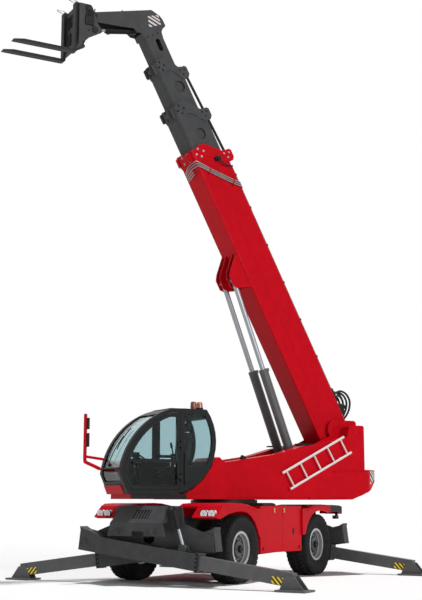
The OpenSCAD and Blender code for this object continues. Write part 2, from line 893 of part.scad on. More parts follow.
// the part of a section behind its front edge, moved back by d
module behind_tip(i, tip, tail, d) {
    h = high(i) / 2 + 200;
    translate([-d, 0, 0])
        slab(concat(tip_line(i, tip), [[tail, h], [tail, -h]]), -400, 400);
}

// side plates of a collar, with an ear over the top
module collar_ears(i, tip) {
    y = wide(i) / 2;
    z = high(i) / 2;
    for (side = [-y - collar_t, y])
        slab([[tip - 400, z - 40], [tip - 160, z - 40], [tip - 160, z + 70], [tip - 200, z + 110], [tip - 340, z + 110],
            [tip - 400, z + 60]], side, side + collar_t);
    bar_y(tip - 345, z + 62, 26, -y - collar_t, y + collar_t);
}

// one hollow section; its tip has a collar of pads, its tail a band of pads
module section(i, tail, tip, collar) {
    reach = tip + 200;
    difference() {
        union() {
            tube(i, 0, tail, collar ? reach : tip);
            if (i > 0)
                tube(i - 1, boom_t + fit, tail, tail + 160);
            if (collar) {
                difference() {
                    tube(i, -collar_t, tip - 500, reach);
                    behind_tip(i, tip, tail - 1000, collar_len);
                }
                block([tip - 130, -wide(i) / 2 + 40, -high(i) / 2 - 62], [tip + 60, wide(i) / 2 - 40, -high(i) / 2]);
                collar_ears(i, tip);
            }
        }
        if (collar) {
            intersection() {
                tube(i, boom_t, tail - 1, reach);
                behind_tip(i, tip, tail - 1000, collar_len);
            }
            tube(i + 1, -fit, tail + 200, reach + 1);
            difference() {
                block([tip - 300, -400, -high(i) / 2 - 190], [reach + 10, 400, high(i) / 2 + 190]);
                behind_tip(i, tip, tail - 1000, 0);
            }
        } else
            tube(i, boom_t, tail - 1, tip + 1);
    }
}

// round windows through the sides of a section
module side_windows(u, w, length) {
    for (e = [-length / 2, length / 2])
        bar_y(u + e, w, window_r - length * 0.45, -400, 400);
    if (length > 0)
        block([u - length / 2, -400, w - window_r + length * 0.45], [u + length / 2, 400, w + window_r - length * 0.45]);
}

module boom_base() {
    color("#c8101e")
        along_boom()
            difference() {
                union() {
                    section(0, -200, base_tip, true);
                    bar_y(0, 0, 120, -side_y + 5, side_y - 5);
                    // lift cylinder bracket
                    for (y = [-lift_y, lift_y])
                        for (side = [-cheek_gap - cheek_t, cheek_gap])
                            slab([[lift_u - 260, -base_h / 2], [lift_u + 460, -base_h / 2], [lift_u + 200, lift_w - 20],
                                [lift_u + 100, lift_w - 90], [lift_u - 100, lift_w - 90], [lift_u - 170, lift_w - 20]],
                                y + side, y + side + cheek_t);
                }
                bar_y(0, 0, 60 + run, -400, 400);
            }
}

module boom_mid_1() {
    color("#4a4d50")
        along_boom()
            difference() {
                section(1, base_tip + run_out - section_len, base_tip + run_out, true);
                side_windows(base_tip + run_out - 590, 20, 0);
            }
}

module boom_mid_2() {
    color("#4a4d50")
        along_boom()
            difference() {
                section(2, base_tip + 2 * run_out - section_len, base_tip + 2 * run_out, true);
                side_windows(base_tip + 2 * run_out - 500, 50, 0);
            }
}

// outline of the gooseneck in the frame of the boom, h the height of the last section
function goose_line(h) = concat([[neck_u, -h / 2], [neck_u, h / 2], [head_tip - 55, h / 2], [head_tip, 350],
    [head_tip + 110, 352], [head_tip + 215, 326], [head_tip + 376, 206]], arc([hinge_u, hinge_w], hub_r - 8, 13, -152, 10),
    [[head_tip + 281, -603], [head_tip + 160, -330], [head_tip + 70, -290], [head_tip + 20, -h / 2]]);

module boom_head() {
    w = base_w - 3 * step_w;
    h = base_h - 3 * step_h;
    color("#3a3d40")
        along_boom()
            difference() {
                union() {
                    section(3, base_tip + 2 * run_out + 700 - section_len, neck_u, false);
                    difference() {
                        slab(goose_line(h), -w / 2, w / 2);
                        // hollow of the gooseneck, open below for the tilt cylinder
                        slab([[neck_u - 1, -h / 2 + 16], [neck_u - 1, h / 2 - 16], [head_tip - 40, h / 2 - 16], [head_tip + 15, 330],
                            [head_tip + 105, 332], [head_tip + 205, 306], [head_tip + 356, 192], [hinge_u + 72, hinge_w + 17],
                            [hinge_u + 25, hinge_w - 68], [hinge_u - 90, hinge_w - 130], [head_tip + 240, -640],
                            [head_tip + 20, -360], [head_tip + 20, -h / 2 + 16]], -w / 2 + 22, w / 2 - 22);
                    }
                    bar_y(hinge_u, hinge_w, hub_r, -w / 2, w / 2);
                    bar_y(tilt_foot_b[0], tilt_foot_b[1], 25, -w / 2, w / 2);
                    for (y = [-w / 2 + 10, tilt_r + 8])
                        bar_y(tilt_foot_b[0], tilt_foot_b[1], 48, y, y + w / 2 - tilt_r - 18);
                }
                bar_y(hinge_u, hinge_w, 45 + run, -400, 400);
                side_windows(head_tip - 300, 50, 150);
            }
}

// HEAD

// the frame of the tilt cylinder, X along it
module along_tilt() {
    upper()
        translate([tilt_foot[0], 0, tilt_foot[1]])
            rotate([0, -tilt_ang, 0])
                children();
}

module tilt_barrel() {
    color("#2b2d2f")
        along_tilt()
            difference() {
                union() {
                    bar_x(0, 0, tilt_r, 30, 665);
                    bar_y(0, 0, 50, -tilt_r, tilt_r);
                }
                bar_y(0, 0, 25 + run, -100, 100);
                bar_x(0, 0, tilt_r - 10, 90, 640);
                bar_x(0, 0, 30 + fit, 620, 700);
            }
}

module tilt_rod() {
    color("#d8dadc")
        along_tilt() {
            bar_x(0, 0, 30, 320, tilt_len - 20);
            bar_x(0, 0, tilt_r - 10 - fit, 290, 325);
            bar_y(tilt_len, 0, 42, -35, 35);
        }
}

module carriage() {
    hx = hinge[0];
    hz = hinge[1];
    front = hx + fork_face;
    w = base_w - 3 * step_w;
    color("#3a3d40")
        upper() {
            bar_y(hx, hz, 45, -w / 2 - 50, w / 2 + 50);
            for (left = [-1, 1])
                mirror([0, left > 0 ? 0 : 1, 0]) {
                    // plates at the hinge
                    slab(concat(arc([hx, hz], 90, 90, 220, 8), [[hx + 220, hz - 640], [front, hz - 640], [front, hz + 90]]),
                        w / 2 + 6, w / 2 + 36);
                    // ears of the tilt cylinder
                    slab(concat(arc(tilt_eye, 58, 75, 270, 8), [[front, hz - 600], [front, hz - 250]]), tilt_r + 8, tilt_r + 33);
                    // outer plates
                    slab(concat([[front, hz + 100]], arc([hx + 180, hz + 40], 60, 90, 165, 4),
                        [[hx + 85, hz - 40], [hx + 25, hz - 220], [hx - 70, hz - 350]], arc([hx - 45, hz - 370], 32, 150, 240, 3),
                        [[hx + 170, hz - 530], [front, hz - 690]]), 385, 420);
                }
            // rails for the forks, with stiffeners between them
            block([front - 70, -420, hz], [front, 420, hz + 100]);
            block([front - 70, -420, hz - 690], [front, 420, hz - 590]);
            block([front - 60, -420, hz - 340], [front - 10, 420, hz - 250]);
            for (y = [-300, 260])
                block([front - 60, y, hz - 590], [front - 10, y + 40, hz]);
            bar_y(hx + 75, hz - 370, 38, -400, 400);
            bar_y(hx + 210, hz + 30, 45, w / 2 + 20, 400);
            bar_y(hx + 210, hz + 30, 45, -400, -w / 2 - 20);
        }
}

module forks() {
    hx = hinge[0] + fork_face;
    hz = hinge[1];
    color("#2b2d2f")
        upper()
            for (y = [-fork_y, fork_y])
                slab(concat([[hx, hz + 100], [hx - 70, hz + 100], [hx - 70, hz + 130], [hx + fork_t, hz + 130], [hx + fork_t, hz - 760],
                    [hx + fork_t + 20, hz - 780], [hx + fork_len - 200, hz - 780], [hx + fork_len, hz - 815], [hx + fork_len, hz - 830]],
                    [[hx + 40, hz - 830], [hx + 12, hz - 818], [hx, hz - 790]]), y - fork_w / 2, y + fork_w / 2);
}

// OUTRIGGER LEGS

module leg_outer() {
    color("#3a3d40") {
        leg_frame()
            difference() {
                union() {
                    block([-leg_w / 2, -130, -leg_h / 2], [leg_w / 2, leg_out, leg_h / 2]);
                    bar_x(0, 0, 75, -leg_w / 2 - leg_play + fit, leg_w / 2 + leg_play - fit);
                    block([-leg_w / 2, leg_out - 60, -leg_h / 2 - 14], [leg_w / 2, leg_out, leg_h / 2 + 14]);
                    rotate([90, 0, 90])
                        translate([0, 0, -leg_w / 2])
                            linear_extrude(leg_w)
                                polygon([[-130, leg_h / 2], [330, leg_h / 2], [60, leg_h / 2 + 75], [-60, leg_h / 2 + 85],
                                    [-150, leg_h / 2 + 120], [-130, leg_h / 2 + 60]]);
                }
                block([-leg_w / 2 + leg_wall, -80, -leg_h / 2 + leg_wall], [leg_w / 2 - leg_wall, leg_out - 90, leg_h / 2 - leg_wall]);
                block([-leg_in_w / 2 - fit, 100, -leg_in_h / 2 - fit], [leg_in_w / 2 + fit, leg_out + 1, leg_in_h / 2 + fit]);
                bar_x(0, 0, 38 + run, -200, 200);
            }
        // ears of the leg cylinder
        for (x = [-60, 40])
            translate([x, 0, 0])
                rotate([90, 0, 90])
                    linear_extrude(20)
                        polygon([[leg_eye[0] - 90, leg_eye[1] - 64], [leg_eye[0] + 90, leg_eye[1] - 90], [leg_eye[0] + 45, leg_eye[1] + 45],
                            [leg_eye[0] - 45, leg_eye[1] + 45]]);
    }
}

module leg_inner() {
    tail = leg_out - leg_lap;
    end = [leg_end * leg_c - leg_pivot_y, leg_pivot_z - leg_end * leg_s];
    color("#4a4d50") {
        leg_frame()
            difference() {
                union() {
                    block([-leg_in_w / 2, tail, -leg_in_h / 2], [leg_in_w / 2, leg_end, leg_in_h / 2]);
                    block([-leg_w / 2 + leg_wall + fit, tail, -leg_h / 2 + leg_wall + fit],
                        [leg_w / 2 - leg_wall - fit, tail + 100, leg_h / 2 - leg_wall - fit]);
                }
                block([-leg_in_w / 2 + 10, tail - 1, -leg_in_h / 2 + 10], [leg_in_w / 2 - 10, leg_end - 20, leg_in_h / 2 - 10]);
            }
        block([-180, end[0] - pad_side / 2, 0], [180, end[0] + pad_side / 2, 30]);
        for (x = [-leg_in_w / 2 - 14, leg_in_w / 2])
            translate([x, 0, 0])
                rotate([90, 0, 90])
                    linear_extrude(14)
                        polygon([[end[0] - 220, 30], [end[0] + 200, 30], [end[0] + 40, 230], [end[0] - 120, 250]]);
    }
}

// the frame of a leg cylinder, Y along it
module along_leg_cylinder() {
    d = leg_eye - leg_top;
    translate([0, leg_top[0], leg_top[1]])
        rotate([atan2(d[1], d[0]), 0, 0])
            children();
}

module leg_barrel() {
    color("#2b2d2f")
        along_leg_cylinder()
            difference() {
                union() {
                    bar_y(0, 0, 45, 20, 350);
                    bar_x(0, 0, 45, -40, 40);
                }
                bar_x(0, 0, 25 + run, -100, 100);
                bar_y(0, 0, 38, 60, 330);
                bar_y(0, 0, 27 + fit, 300, 400);
            }
}

module leg_rod() {
    color("#d8dadc")
        along_leg_cylinder() {
            bar_y(0, 0, 27, 280, norm(leg_eye - leg_top) - 10);
            bar_y(0, 0, 38 - fit, 262, 282);
            translate([0, norm(leg_eye - leg_top), 0])
                bar_x(0, 0, 36, -34, 34);
        }
}

module leg_outer_fl() { leg_place(1, 1) leg_outer(); }
module leg_outer_fr() { leg_place(1, -1) leg_outer(); }
module leg_outer_rl() { leg_place(-1, 1) leg_outer(); }
module leg_outer_rr() { leg_place(-1, -1) leg_outer(); }
module leg_inner_fl() { leg_place(1, 1) leg_inner(); }
module leg_inner_fr() { leg_place(1, -1) leg_inner(); }
module leg_inner_rl() { leg_place(-1, 1) leg_inner(); }
module leg_inner_rr() { leg_place(-1, -1) leg_inner(); }
module leg_barrel_fl() { leg_place(1, 1) leg_barrel(); }
module leg_barrel_fr() { leg_place(1, -1) leg_barrel(); }
module leg_barrel_rl() { leg_place(-1, 1) leg_barrel(); }
module leg_barrel_rr() { leg_place(-1, -1) leg_barrel(); }
module leg_rod_fl() { leg_place(1, 1) leg_rod(); }
module leg_rod_fr() { leg_place(1, -1) leg_rod(); }
module leg_rod_rl() { leg_place(-1, 1) leg_rod(); }
module leg_rod_rr() { leg_place(-1, -1) leg_rod(); }

chassis_frame();
axles();
engine();
side_covers();
mudguards();
lamps();
outrigger_frames();
slew_ring();
knuckle_fl();
knuckle_fr();
knuckle_rl();
knuckle_rr();
rim_fl();
rim_fr();
rim_rl();
rim_rr();
tyre_fl();
tyre_fr();
tyre_rl();
tyre_rr();
turret_frame();
counterweight();
ladder();
cab_base();
cab_shell();
cab_side_left();
cab_side_right();
cab_glazing();
seat();
console();
mirrors();
beacon();
door_frame();
door_glass();
lift_barrels();
lift_rods();
boom_base();
boom_mid_1();
boom_mid_2();
boom_head();
tilt_barrel();
tilt_rod();
carriage();
forks();
leg_outer_fl();
leg_outer_fr();
leg_outer_rl();
leg_outer_rr();
leg_inner_fl();
leg_inner_fr();
leg_inner_rl();
leg_inner_rr();
leg_barrel_fl();
leg_barrel_fr();
leg_barrel_rl();
leg_barrel_rr();
leg_rod_fl();
leg_rod_fr();
leg_rod_rl();
leg_rod_rr();
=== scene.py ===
"""Looks of the rotating telehandler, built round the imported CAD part."""
import json
import math

import bmesh
import bpy
from mathutils import Matrix, Vector


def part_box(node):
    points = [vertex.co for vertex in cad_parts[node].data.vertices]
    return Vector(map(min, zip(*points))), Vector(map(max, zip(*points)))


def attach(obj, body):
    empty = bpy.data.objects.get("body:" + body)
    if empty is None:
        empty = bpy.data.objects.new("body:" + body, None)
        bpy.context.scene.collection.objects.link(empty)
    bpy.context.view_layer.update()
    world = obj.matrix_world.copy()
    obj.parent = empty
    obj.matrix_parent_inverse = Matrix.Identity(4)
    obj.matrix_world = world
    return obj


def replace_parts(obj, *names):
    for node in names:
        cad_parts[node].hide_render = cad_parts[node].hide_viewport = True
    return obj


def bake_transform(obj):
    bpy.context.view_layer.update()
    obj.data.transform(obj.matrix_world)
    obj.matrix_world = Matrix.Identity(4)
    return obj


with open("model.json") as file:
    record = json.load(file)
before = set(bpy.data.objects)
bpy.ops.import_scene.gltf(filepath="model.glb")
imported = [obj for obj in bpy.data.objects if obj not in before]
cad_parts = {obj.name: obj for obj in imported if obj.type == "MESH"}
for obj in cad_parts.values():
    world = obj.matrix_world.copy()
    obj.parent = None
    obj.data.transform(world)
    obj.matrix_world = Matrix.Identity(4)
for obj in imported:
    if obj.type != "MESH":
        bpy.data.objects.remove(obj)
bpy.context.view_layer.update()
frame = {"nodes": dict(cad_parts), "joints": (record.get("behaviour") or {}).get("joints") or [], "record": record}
nodes = frame["nodes"]
scene = bpy.context.scene
joints = {j["name"]: j for j in frame["joints"]}
SIDES = (-1, 1)

# ---- places, in metres ----
SLEW = math.radians(-30)
BOOM_RISE = math.radians(62)
BOOM_PIVOT = (-2.3, 0, 2.75)
CHASSIS = Matrix.Translation((Vector(joints["slew"]["pos_m"]).x, 0, 0))
UPPER = CHASSIS @ Matrix.Rotation(SLEW, 4, "Z")
ALONG = UPPER @ Matrix.Translation(BOOM_PIVOT) @ Matrix.Rotation(-BOOM_RISE, 4, "Y")

# ---- camera ----
CAMERA_AT = (18.936, 11.012, 1.308)
CAMERA_TURN = math.radians(30.81)
CAMERA_RISE = math.radians(10.03)
SENSOR_MM, FOCAL_MM = 36, 69.56
cam = bpy.data.objects.new("camera", bpy.data.cameras.new("camera"))
scene.collection.objects.link(cam)
scene.camera = cam
cam.location = CHASSIS @ Vector(CAMERA_AT)
look = Vector((-math.cos(CAMERA_TURN) * math.cos(CAMERA_RISE),
               -math.sin(CAMERA_TURN) * math.cos(CAMERA_RISE), math.sin(CAMERA_RISE)))
cam.rotation_mode = "QUATERNION"
cam.rotation_quaternion = look.to_track_quat("-Z", "Y")
cam.data.sensor_width = SENSOR_MM
cam.data.lens = FOCAL_MM
cam.data.clip_end = 500

# ---- materials ----
ROUGH_DRIFT = 0.06
COAT_ROUGH = 0.08
BUMP_DEPTH = 0.002


def new_material(name):
    mat = bpy.data.materials.new(name)
    mat.use_nodes = True
    tree = mat.node_tree
    return mat, tree, tree.nodes["Principled BSDF"]


def base_colour(tree, bsdf, factor, low, high, start=0.0, stop=1.0):
    """Runs the base colour from low to high while a factor goes from start to stop."""
    ramp = tree.nodes.new("ShaderNodeValToRGB")
    ramp.color_ramp.elements[0].position = start
    ramp.color_ramp.elements[1].position = stop
    ramp.color_ramp.elements[0].color = (*low, 1)
    ramp.color_ramp.elements[1].color = (*high, 1)
    tree.links.new(factor, ramp.inputs["Fac"])
    tree.links.new(ramp.outputs["Color"], bsdf.inputs["Base Color"])


def paint(name, colour, rough, metal=0.0, coat=0.0, grain=0.10, scale=6.0, bump=0.0,
          bump_scale=300.0, spec=0.5):
    """A finish whose tone and roughness drift a little over the surface."""
    mat, tree, bsdf = new_material(name)
    coord = tree.nodes.new("ShaderNodeTexCoord")

    def noise(fineness, detail):
        node = tree.nodes.new("ShaderNodeTexNoise")
        node.inputs["Scale"].default_value = fineness
        node.inputs["Detail"].default_value = detail
        tree.links.new(coord.outputs["Object"], node.inputs["Vector"])
        return node.outputs["Fac"]

    drift = noise(scale, 6)
    dark = [c * (1 - grain) for c in colour]
    light = [min(1, c * (1 + grain)) for c in colour]
    base_colour(tree, bsdf, drift, dark, light, 0.35, 0.65)
    span = tree.nodes.new("ShaderNodeMapRange")
    span.inputs["To Min"].default_value = max(0.02, rough - ROUGH_DRIFT)
    span.inputs["To Max"].default_value = rough + ROUGH_DRIFT
    tree.links.new(drift, span.inputs["Value"])
    tree.links.new(span.outputs["Result"], bsdf.inputs["Roughness"])
    bsdf.inputs["Metallic"].default_value = metal
    bsdf.inputs["Specular IOR Level"].default_value = spec
    bsdf.inputs["Coat Weight"].default_value = coat
    bsdf.inputs["Coat Roughness"].default_value = COAT_ROUGH
    if bump:
        relief = tree.nodes.new("ShaderNodeBump")
        relief.inputs["Strength"].default_value = bump
        relief.inputs["Distance"].default_value = BUMP_DEPTH
        tree.links.new(noise(bump_scale, 3), relief.inputs["Height"])
        tree.links.new(relief.outputs["Normal"], bsdf.inputs["Normal"])
    return mat


def glazing(name, tint, interior_shade_tint, height):
    """Clear tinted glass, greyer below a height; the darker tint there is painted shade for the dark cab interior
    seen through the lower panes.
    """
    mat, tree, bsdf = new_material(name)
    coord = tree.nodes.new("ShaderNodeTexCoord")
    split = tree.nodes.new("ShaderNodeSeparateXYZ")
    tree.links.new(coord.outputs["Object"], split.inputs["Vector"])
    fade = tree.nodes.new("ShaderNodeMapRange")
    fade.inputs["From Min"].default_value = height - 0.02
    fade.inputs["From Max"].default_value = height + 0.02
    tree.links.new(split.outputs["Z"], fade.inputs["Value"])
    base_colour(tree, bsdf, fade.outputs["Result"], interior_shade_tint, tint)
    bsdf.inputs["Transmission Weight"].default_value = 1.0
    bsdf.inputs["Roughness"].default_value = 0.0
    bsdf.inputs["IOR"].default_value = 1.25
    return mat


def wheel_painted_shade_and_highlight(name, dish, edge, radius):
    """A wheel colour with painted shade and a painted highlight: dark in the dish, bright from a share of the
    rim's radius outward.
    """
    mat, tree, bsdf = new_material(name)

    def vector_step(operation, source, value=None):
        node = tree.nodes.new("ShaderNodeVectorMath")
        node.operation = operation
        tree.links.new(source, node.inputs[0])
        if value:
            node.inputs[1].default_value = value
        return node.outputs

    coord = tree.nodes.new("ShaderNodeTexCoord")
    centred = vector_step("SUBTRACT", coord.outputs["Generated"], (0.5, 0.5, 0.5))
    flat = vector_step("MULTIPLY", centred["Vector"], (2, 0, 2))
    reach = vector_step("LENGTH", flat["Vector"])
    base_colour(tree, bsdf, reach["Value"], dish, edge, radius - 0.03, radius)
    bsdf.inputs["Roughness"].default_value = 0.38
    bsdf.inputs["Metallic"].default_value = 0.4
    return mat


RED = paint("red_paint", (0.48, 0.003, 0.010), 0.34, coat=0.01, grain=0.05, bump=0.02, spec=0.04)
GREY = paint("grey_paint", (0.054, 0.055, 0.057), 0.50, grain=0.10, bump=0.05, spec=0.10)
BLACK = paint("black_paint", (0.013, 0.013, 0.014), 0.45, grain=0.15, bump=0.05, spec=0.12)
CAB_PAINT = paint("cab_paint", (0.012, 0.014, 0.014), 0.40, coat=0.03, grain=0.08, bump=0.03,
                  spec=0.10)
SILVER = paint("silver_paint", (0.36, 0.37, 0.38), 0.38, metal=0.5, grain=0.08, bump=0.05)
CHROME = paint("rod_chrome", (0.30, 0.32, 0.34), 0.30, metal=0.65, grain=0.04)
RUBBER = paint("tyre_rubber", (0.014, 0.014, 0.014), 0.85, grain=0.25, scale=9, bump=0.25,
               bump_scale=180, spec=0.15)
# the greyer tint below 2.05 m is painted shade for the dark interior seen through the lower panes
GLASS = glazing("cab_glass", (0.54, 0.68, 0.70), (0.46, 0.49, 0.49), 2.05)
LINE = paint("line_steel", (0.26, 0.25, 0.24), 0.40, metal=0.5, grain=0.08)
TRIM = paint("cab_trim", (0.20, 0.20, 0.20), 0.65, grain=0.10, bump=0.15, bump_scale=400,
             spec=0.15)
# the dark dish is painted shade and the bright outer ring is a painted highlight on the rims
WHEEL = wheel_painted_shade_and_highlight("wheel_painted_shade_and_highlight", (0.060, 0.063, 0.063), (0.40, 0.41, 0.42), 0.845)
CLOTH = paint("seat_cloth", (0.022, 0.022, 0.025), 0.85, grain=0.2, bump=0.4, bump_scale=700)
PLASTIC = paint("black_plastic", (0.014, 0.0145, 0.015), 0.60, grain=0.12, bump=0.15,
                bump_scale=500, spec=0.15)
LENS = paint("lamp_lens", (0.82, 0.85, 0.86), 0.08, coat=0.6, grain=0.03)
AMBER = paint("amber_lens", (0.40, 0.085, 0.025), 0.18, coat=0.3, grain=0.08)
WHITE = paint("white_paint", (0.62, 0.58, 0.56), 0.45, grain=0.05, spec=0.2)
FORK = paint("fork_steel", (0.022, 0.022, 0.024), 0.50, grain=0.2, bump=0.1, spec=0.12)
IRON = paint("engine_iron", (0.12, 0.125, 0.13), 0.6, grain=0.15, bump=0.3)
YELLOW = paint("yellow_paint", (0.80, 0.62, 0.02), 0.45, grain=0.06)
SEAL = paint("rubber_seal", (0.010, 0.010, 0.011), 0.65, grain=0.1)
HOSE = paint("hose_cover", (0.014, 0.014, 0.015), 0.55, grain=0.2, bump=0.2, spec=0.2)
BRASS = paint("plated_brass", (0.42, 0.27, 0.07), 0.35, metal=0.6, grain=0.08)
STEEL = paint("bright_steel", (0.30, 0.31, 0.32), 0.34, metal=0.8, grain=0.08)
LEG = paint("leg_paint", (0.088, 0.089, 0.090), 0.45, grain=0.10, bump=0.05, spec=0.3)
# lighter than the barrels' own grey: partly their paint, partly a painted highlight along them
BARREL_AND_HIGHLIGHT = paint("barrel_paint_and_highlight", (0.082, 0.084, 0.086), 0.42, grain=0.08, bump=0.03, spec=0.35)

look_of = {"red_paint": RED, "grey_paint": GREY, "black_paint": BLACK, "cab_paint": CAB_PAINT,
           "silver_paint": SILVER, "rod_chrome": CHROME, "tyre_rubber": RUBBER,
           "cab_glass": GLASS, "seat_cloth": CLOTH, "black_plastic": PLASTIC,
           "lamp_lens": LENS, "amber_lens": AMBER, "white_paint": WHITE, "fork_steel": FORK,
           "engine_iron": IRON}
for sub in frame["record"]["subparts"]:
    o = nodes[sub["node"]]
    o.data.materials.clear()
    shade = look_of[sub["material_slot"]]
    if sub["node"].startswith("rim_"):
        shade = WHEEL
    elif sub["node"].startswith("leg_inner"):
        shade = LEG
    elif sub["node"] == "lift_barrels":
        shade = BARREL_AND_HIGHLIGHT
    o.data.materials.append(shade)

# ---- mesh helpers ----
PIECE_EDGE_ANGLE, NODE_EDGE_ANGLE = 35, 30


def ease_edges(o, width, angle):
    """Small rounded edges on an object, for its highlights."""
    m = o.modifiers.new("edge", "BEVEL")
    m.width = width
    m.segments = 2
    m.limit_method = "ANGLE"
    m.angle_limit = math.radians(angle)


def mesh_object(name, bm, mat):
    """An object with smooth faces, from a bmesh that is used up."""
    me = bpy.data.meshes.new(name)
    bm.to_mesh(me)
    bm.free()
    me.materials.append(mat)
    for p in me.polygons:
        p.use_smooth = True
    o = bpy.data.objects.new(name, me)
    scene.collection.objects.link(o)
    return o


def smooth(points, n=6):
    """Catmull-Rom points through the given ones."""
    p = [Vector(q) for q in points]
    if len(p) < 3:
        return p
    p = [2 * p[0] - p[1]] + p + [2 * p[-1] - p[-2]]
    out = []
    for i in range(1, len(p) - 2):
        for k in range(n):
            t = k / n
            a, b, c, d = p[i - 1], p[i], p[i + 1], p[i + 2]
            out.append(0.5 * (2 * b + (c - a) * t + (2 * a - 5 * b + 4 * c - d) * t * t
                              + (3 * b - a - 3 * c + d) * t ** 3))
    return out + [p[-2]]


def circle(count, r, shift=0.0):
    """Points spaced evenly on a circle, the first one turned by shift steps."""
    return [(r * math.cos(t), r * math.sin(t))
            for t in [math.tau * (k + shift) / count for k in range(count)]]


class Piece:
    """One mesh piece, filled with simple shapes and then set on a CAD body."""

    def __init__(self, name, mat, body, slot, place=None):
        self.name, self.mat, self.body, self.slot = name, mat, body, slot
        self.place = place or Matrix.Identity(4)
        self.bm = bmesh.new()

    def verts(self, points):
        return [self.bm.verts.new(self.place @ Vector(p)) for p in points]

    def band(self, a, b, closed=True):
        """Faces between two rows of vertices."""
        n = len(a)
        for i in range(n if closed else n - 1):
            j = (i + 1) % n
            self.bm.faces.new((a[i], a[j], b[j], b[i]))

    def box(self, lo, hi, at=None):
        lo, hi = Vector(lo), Vector(hi)
        m = (self.place @ (at or Matrix.Identity(4)) @ Matrix.Translation((lo + hi) / 2)
             @ Matrix.Diagonal((*(hi - lo), 1)))
        bmesh.ops.create_cube(self.bm, size=1, matrix=m)

    def bar(self, a, b, r, seg=12, r2=None):
        """A round bar from a to b, or a cone where r2 is given."""
        a, b = Vector(a), Vector(b)
        d = b - a
        turn = d.to_track_quat("Z", "Y").to_matrix().to_4x4()
        m = self.place @ Matrix.Translation((a + b) / 2) @ turn
        bmesh.ops.create_cone(self.bm, cap_ends=True, segments=seg, radius1=r,
                              radius2=r if r2 is None else r2, depth=d.length, matrix=m)

    def hoop(self, a, b, inner, outer, seg=32):
        """An open ring from a to b."""
        a, b = Vector(a), Vector(b)
        d = (b - a).normalized()
        u = d.orthogonal().normalized()
        v = d.cross(u)
        rings = []
        for k in range(seg):
            t = math.tau * k / seg
            n = math.cos(t) * u + math.sin(t) * v
            rings.append(self.verts((a + n * inner, a + n * outer, b + n * outer, b + n * inner)))
        for k in range(seg):
            self.band(rings[k], rings[(k + 1) % seg])

    def revolve(self, line, seg, closed=True):
        """An outline of (radius, width) points, turned about the Y axis."""
        rings = []
        for k in range(seg):
            t = math.tau * k / seg
            rings.append(self.verts([(r * math.cos(t), y, r * math.sin(t)) for r, y in line]))
        for k in range(seg):
            self.band(rings[k], rings[(k + 1) % seg], closed)

    def plate(self, low, top):
        """A solid between two outlines with as many points."""
        a, b = self.verts(low), self.verts(top)
        n = len(a)
        self.bm.faces.new(a)
        self.bm.faces.new(list(reversed(b)))
        for i in range(n):
            j = (i + 1) % n
            self.bm.faces.new((a[i], b[i], b[j], a[j]))

    def prism(self, points, lo, hi):
        """A closed outline in X and Z, spread along Y from lo to hi."""
        self.plate([(x, lo, z) for x, z in points], [(x, hi, z) for x, z in points])

    def tube(self, points, r, seg=8):
        """A round tube through the points, with its corners eased."""
        pts = [self.place @ Vector(p) for p in smooth(points)]
        rings, up = [], None
        for i, p in enumerate(pts):
            d = (pts[min(i + 1, len(pts) - 1)] - pts[max(i - 1, 0)]).normalized()
            if up is None:
                up = d.orthogonal().normalized()
            up = (up - d * up.dot(d)).normalized()
            side = d.cross(up)
            rings.append([self.bm.verts.new(p + r * (math.cos(t) * up + math.sin(t) * side))
                          for t in [math.tau * k / seg for k in range(seg)]])
        for a, b in zip(rings, rings[1:]):
            self.band(a, b)
        self.bm.faces.new(list(reversed(rings[0])))
        self.bm.faces.new(rings[-1])

    def bolts(self, points, axis, r, h):
        """Hexagon bolt heads with washers, standing along an axis."""
        axis = Vector(axis)
        for p in points:
            p = Vector(p)
            self.bar(p, p + axis * h * 0.3, r * 1.35, 14)
            self.bar(p + axis * h * 0.3, p + axis * h, r, 6)

    def done(self, bevel=0.0, smooth_angle=40, ride=True):
        """Makes the object and sets it on its body."""
        bmesh.ops.recalc_face_normals(self.bm, faces=self.bm.faces)
        o = mesh_object(self.name, self.bm, self.mat)
        o.data.set_sharp_from_angle(angle=math.radians(smooth_angle))
        if bevel:
            ease_edges(o, bevel, PIECE_EDGE_ANGLE)
        if ride:
            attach(o, self.body)
        return o


# ---- wheels ----
WHEELBASE, TRACK, TYRE_R, TYRE_W, BEAD_R = 2.92, 2.03, 0.575, 0.445, 0.298
CORNERS = {"fl": (1, 1), "fr": (1, -1), "rl": (-1, 1), "rr": (-1, -1)}
LUG = 0.022
TREAD_BLOCKS = 40
# start, end and skew of the four rows of blocks: two in the middle, then the shoulders
TREAD_ROWS = ((0.012, 0.100, 0.30), (-0.100, -0.012, 0.30),
              (0.118, 0.202, 0.12), (-0.202, -0.118, 0.12))
HUB_LINE = [(0.0, 0.146), (0.058, 0.146), (0.066, 0.152), (0.064, 0.178), (0.050, 0.190),
            (0.0, 0.192)]
NUT_CIRCLE, HUB_BOLT_CIRCLE = 0.172, 0.048


def wheel_place(front, left):
    """The frame of a wheel: its axle along +Y, pointing outward."""
    m = CHASSIS @ Matrix.Translation((front * WHEELBASE / 2, left * TRACK / 2, TYRE_R))
    return m if left > 0 else m @ Matrix.Rotation(math.pi, 4, "Z")


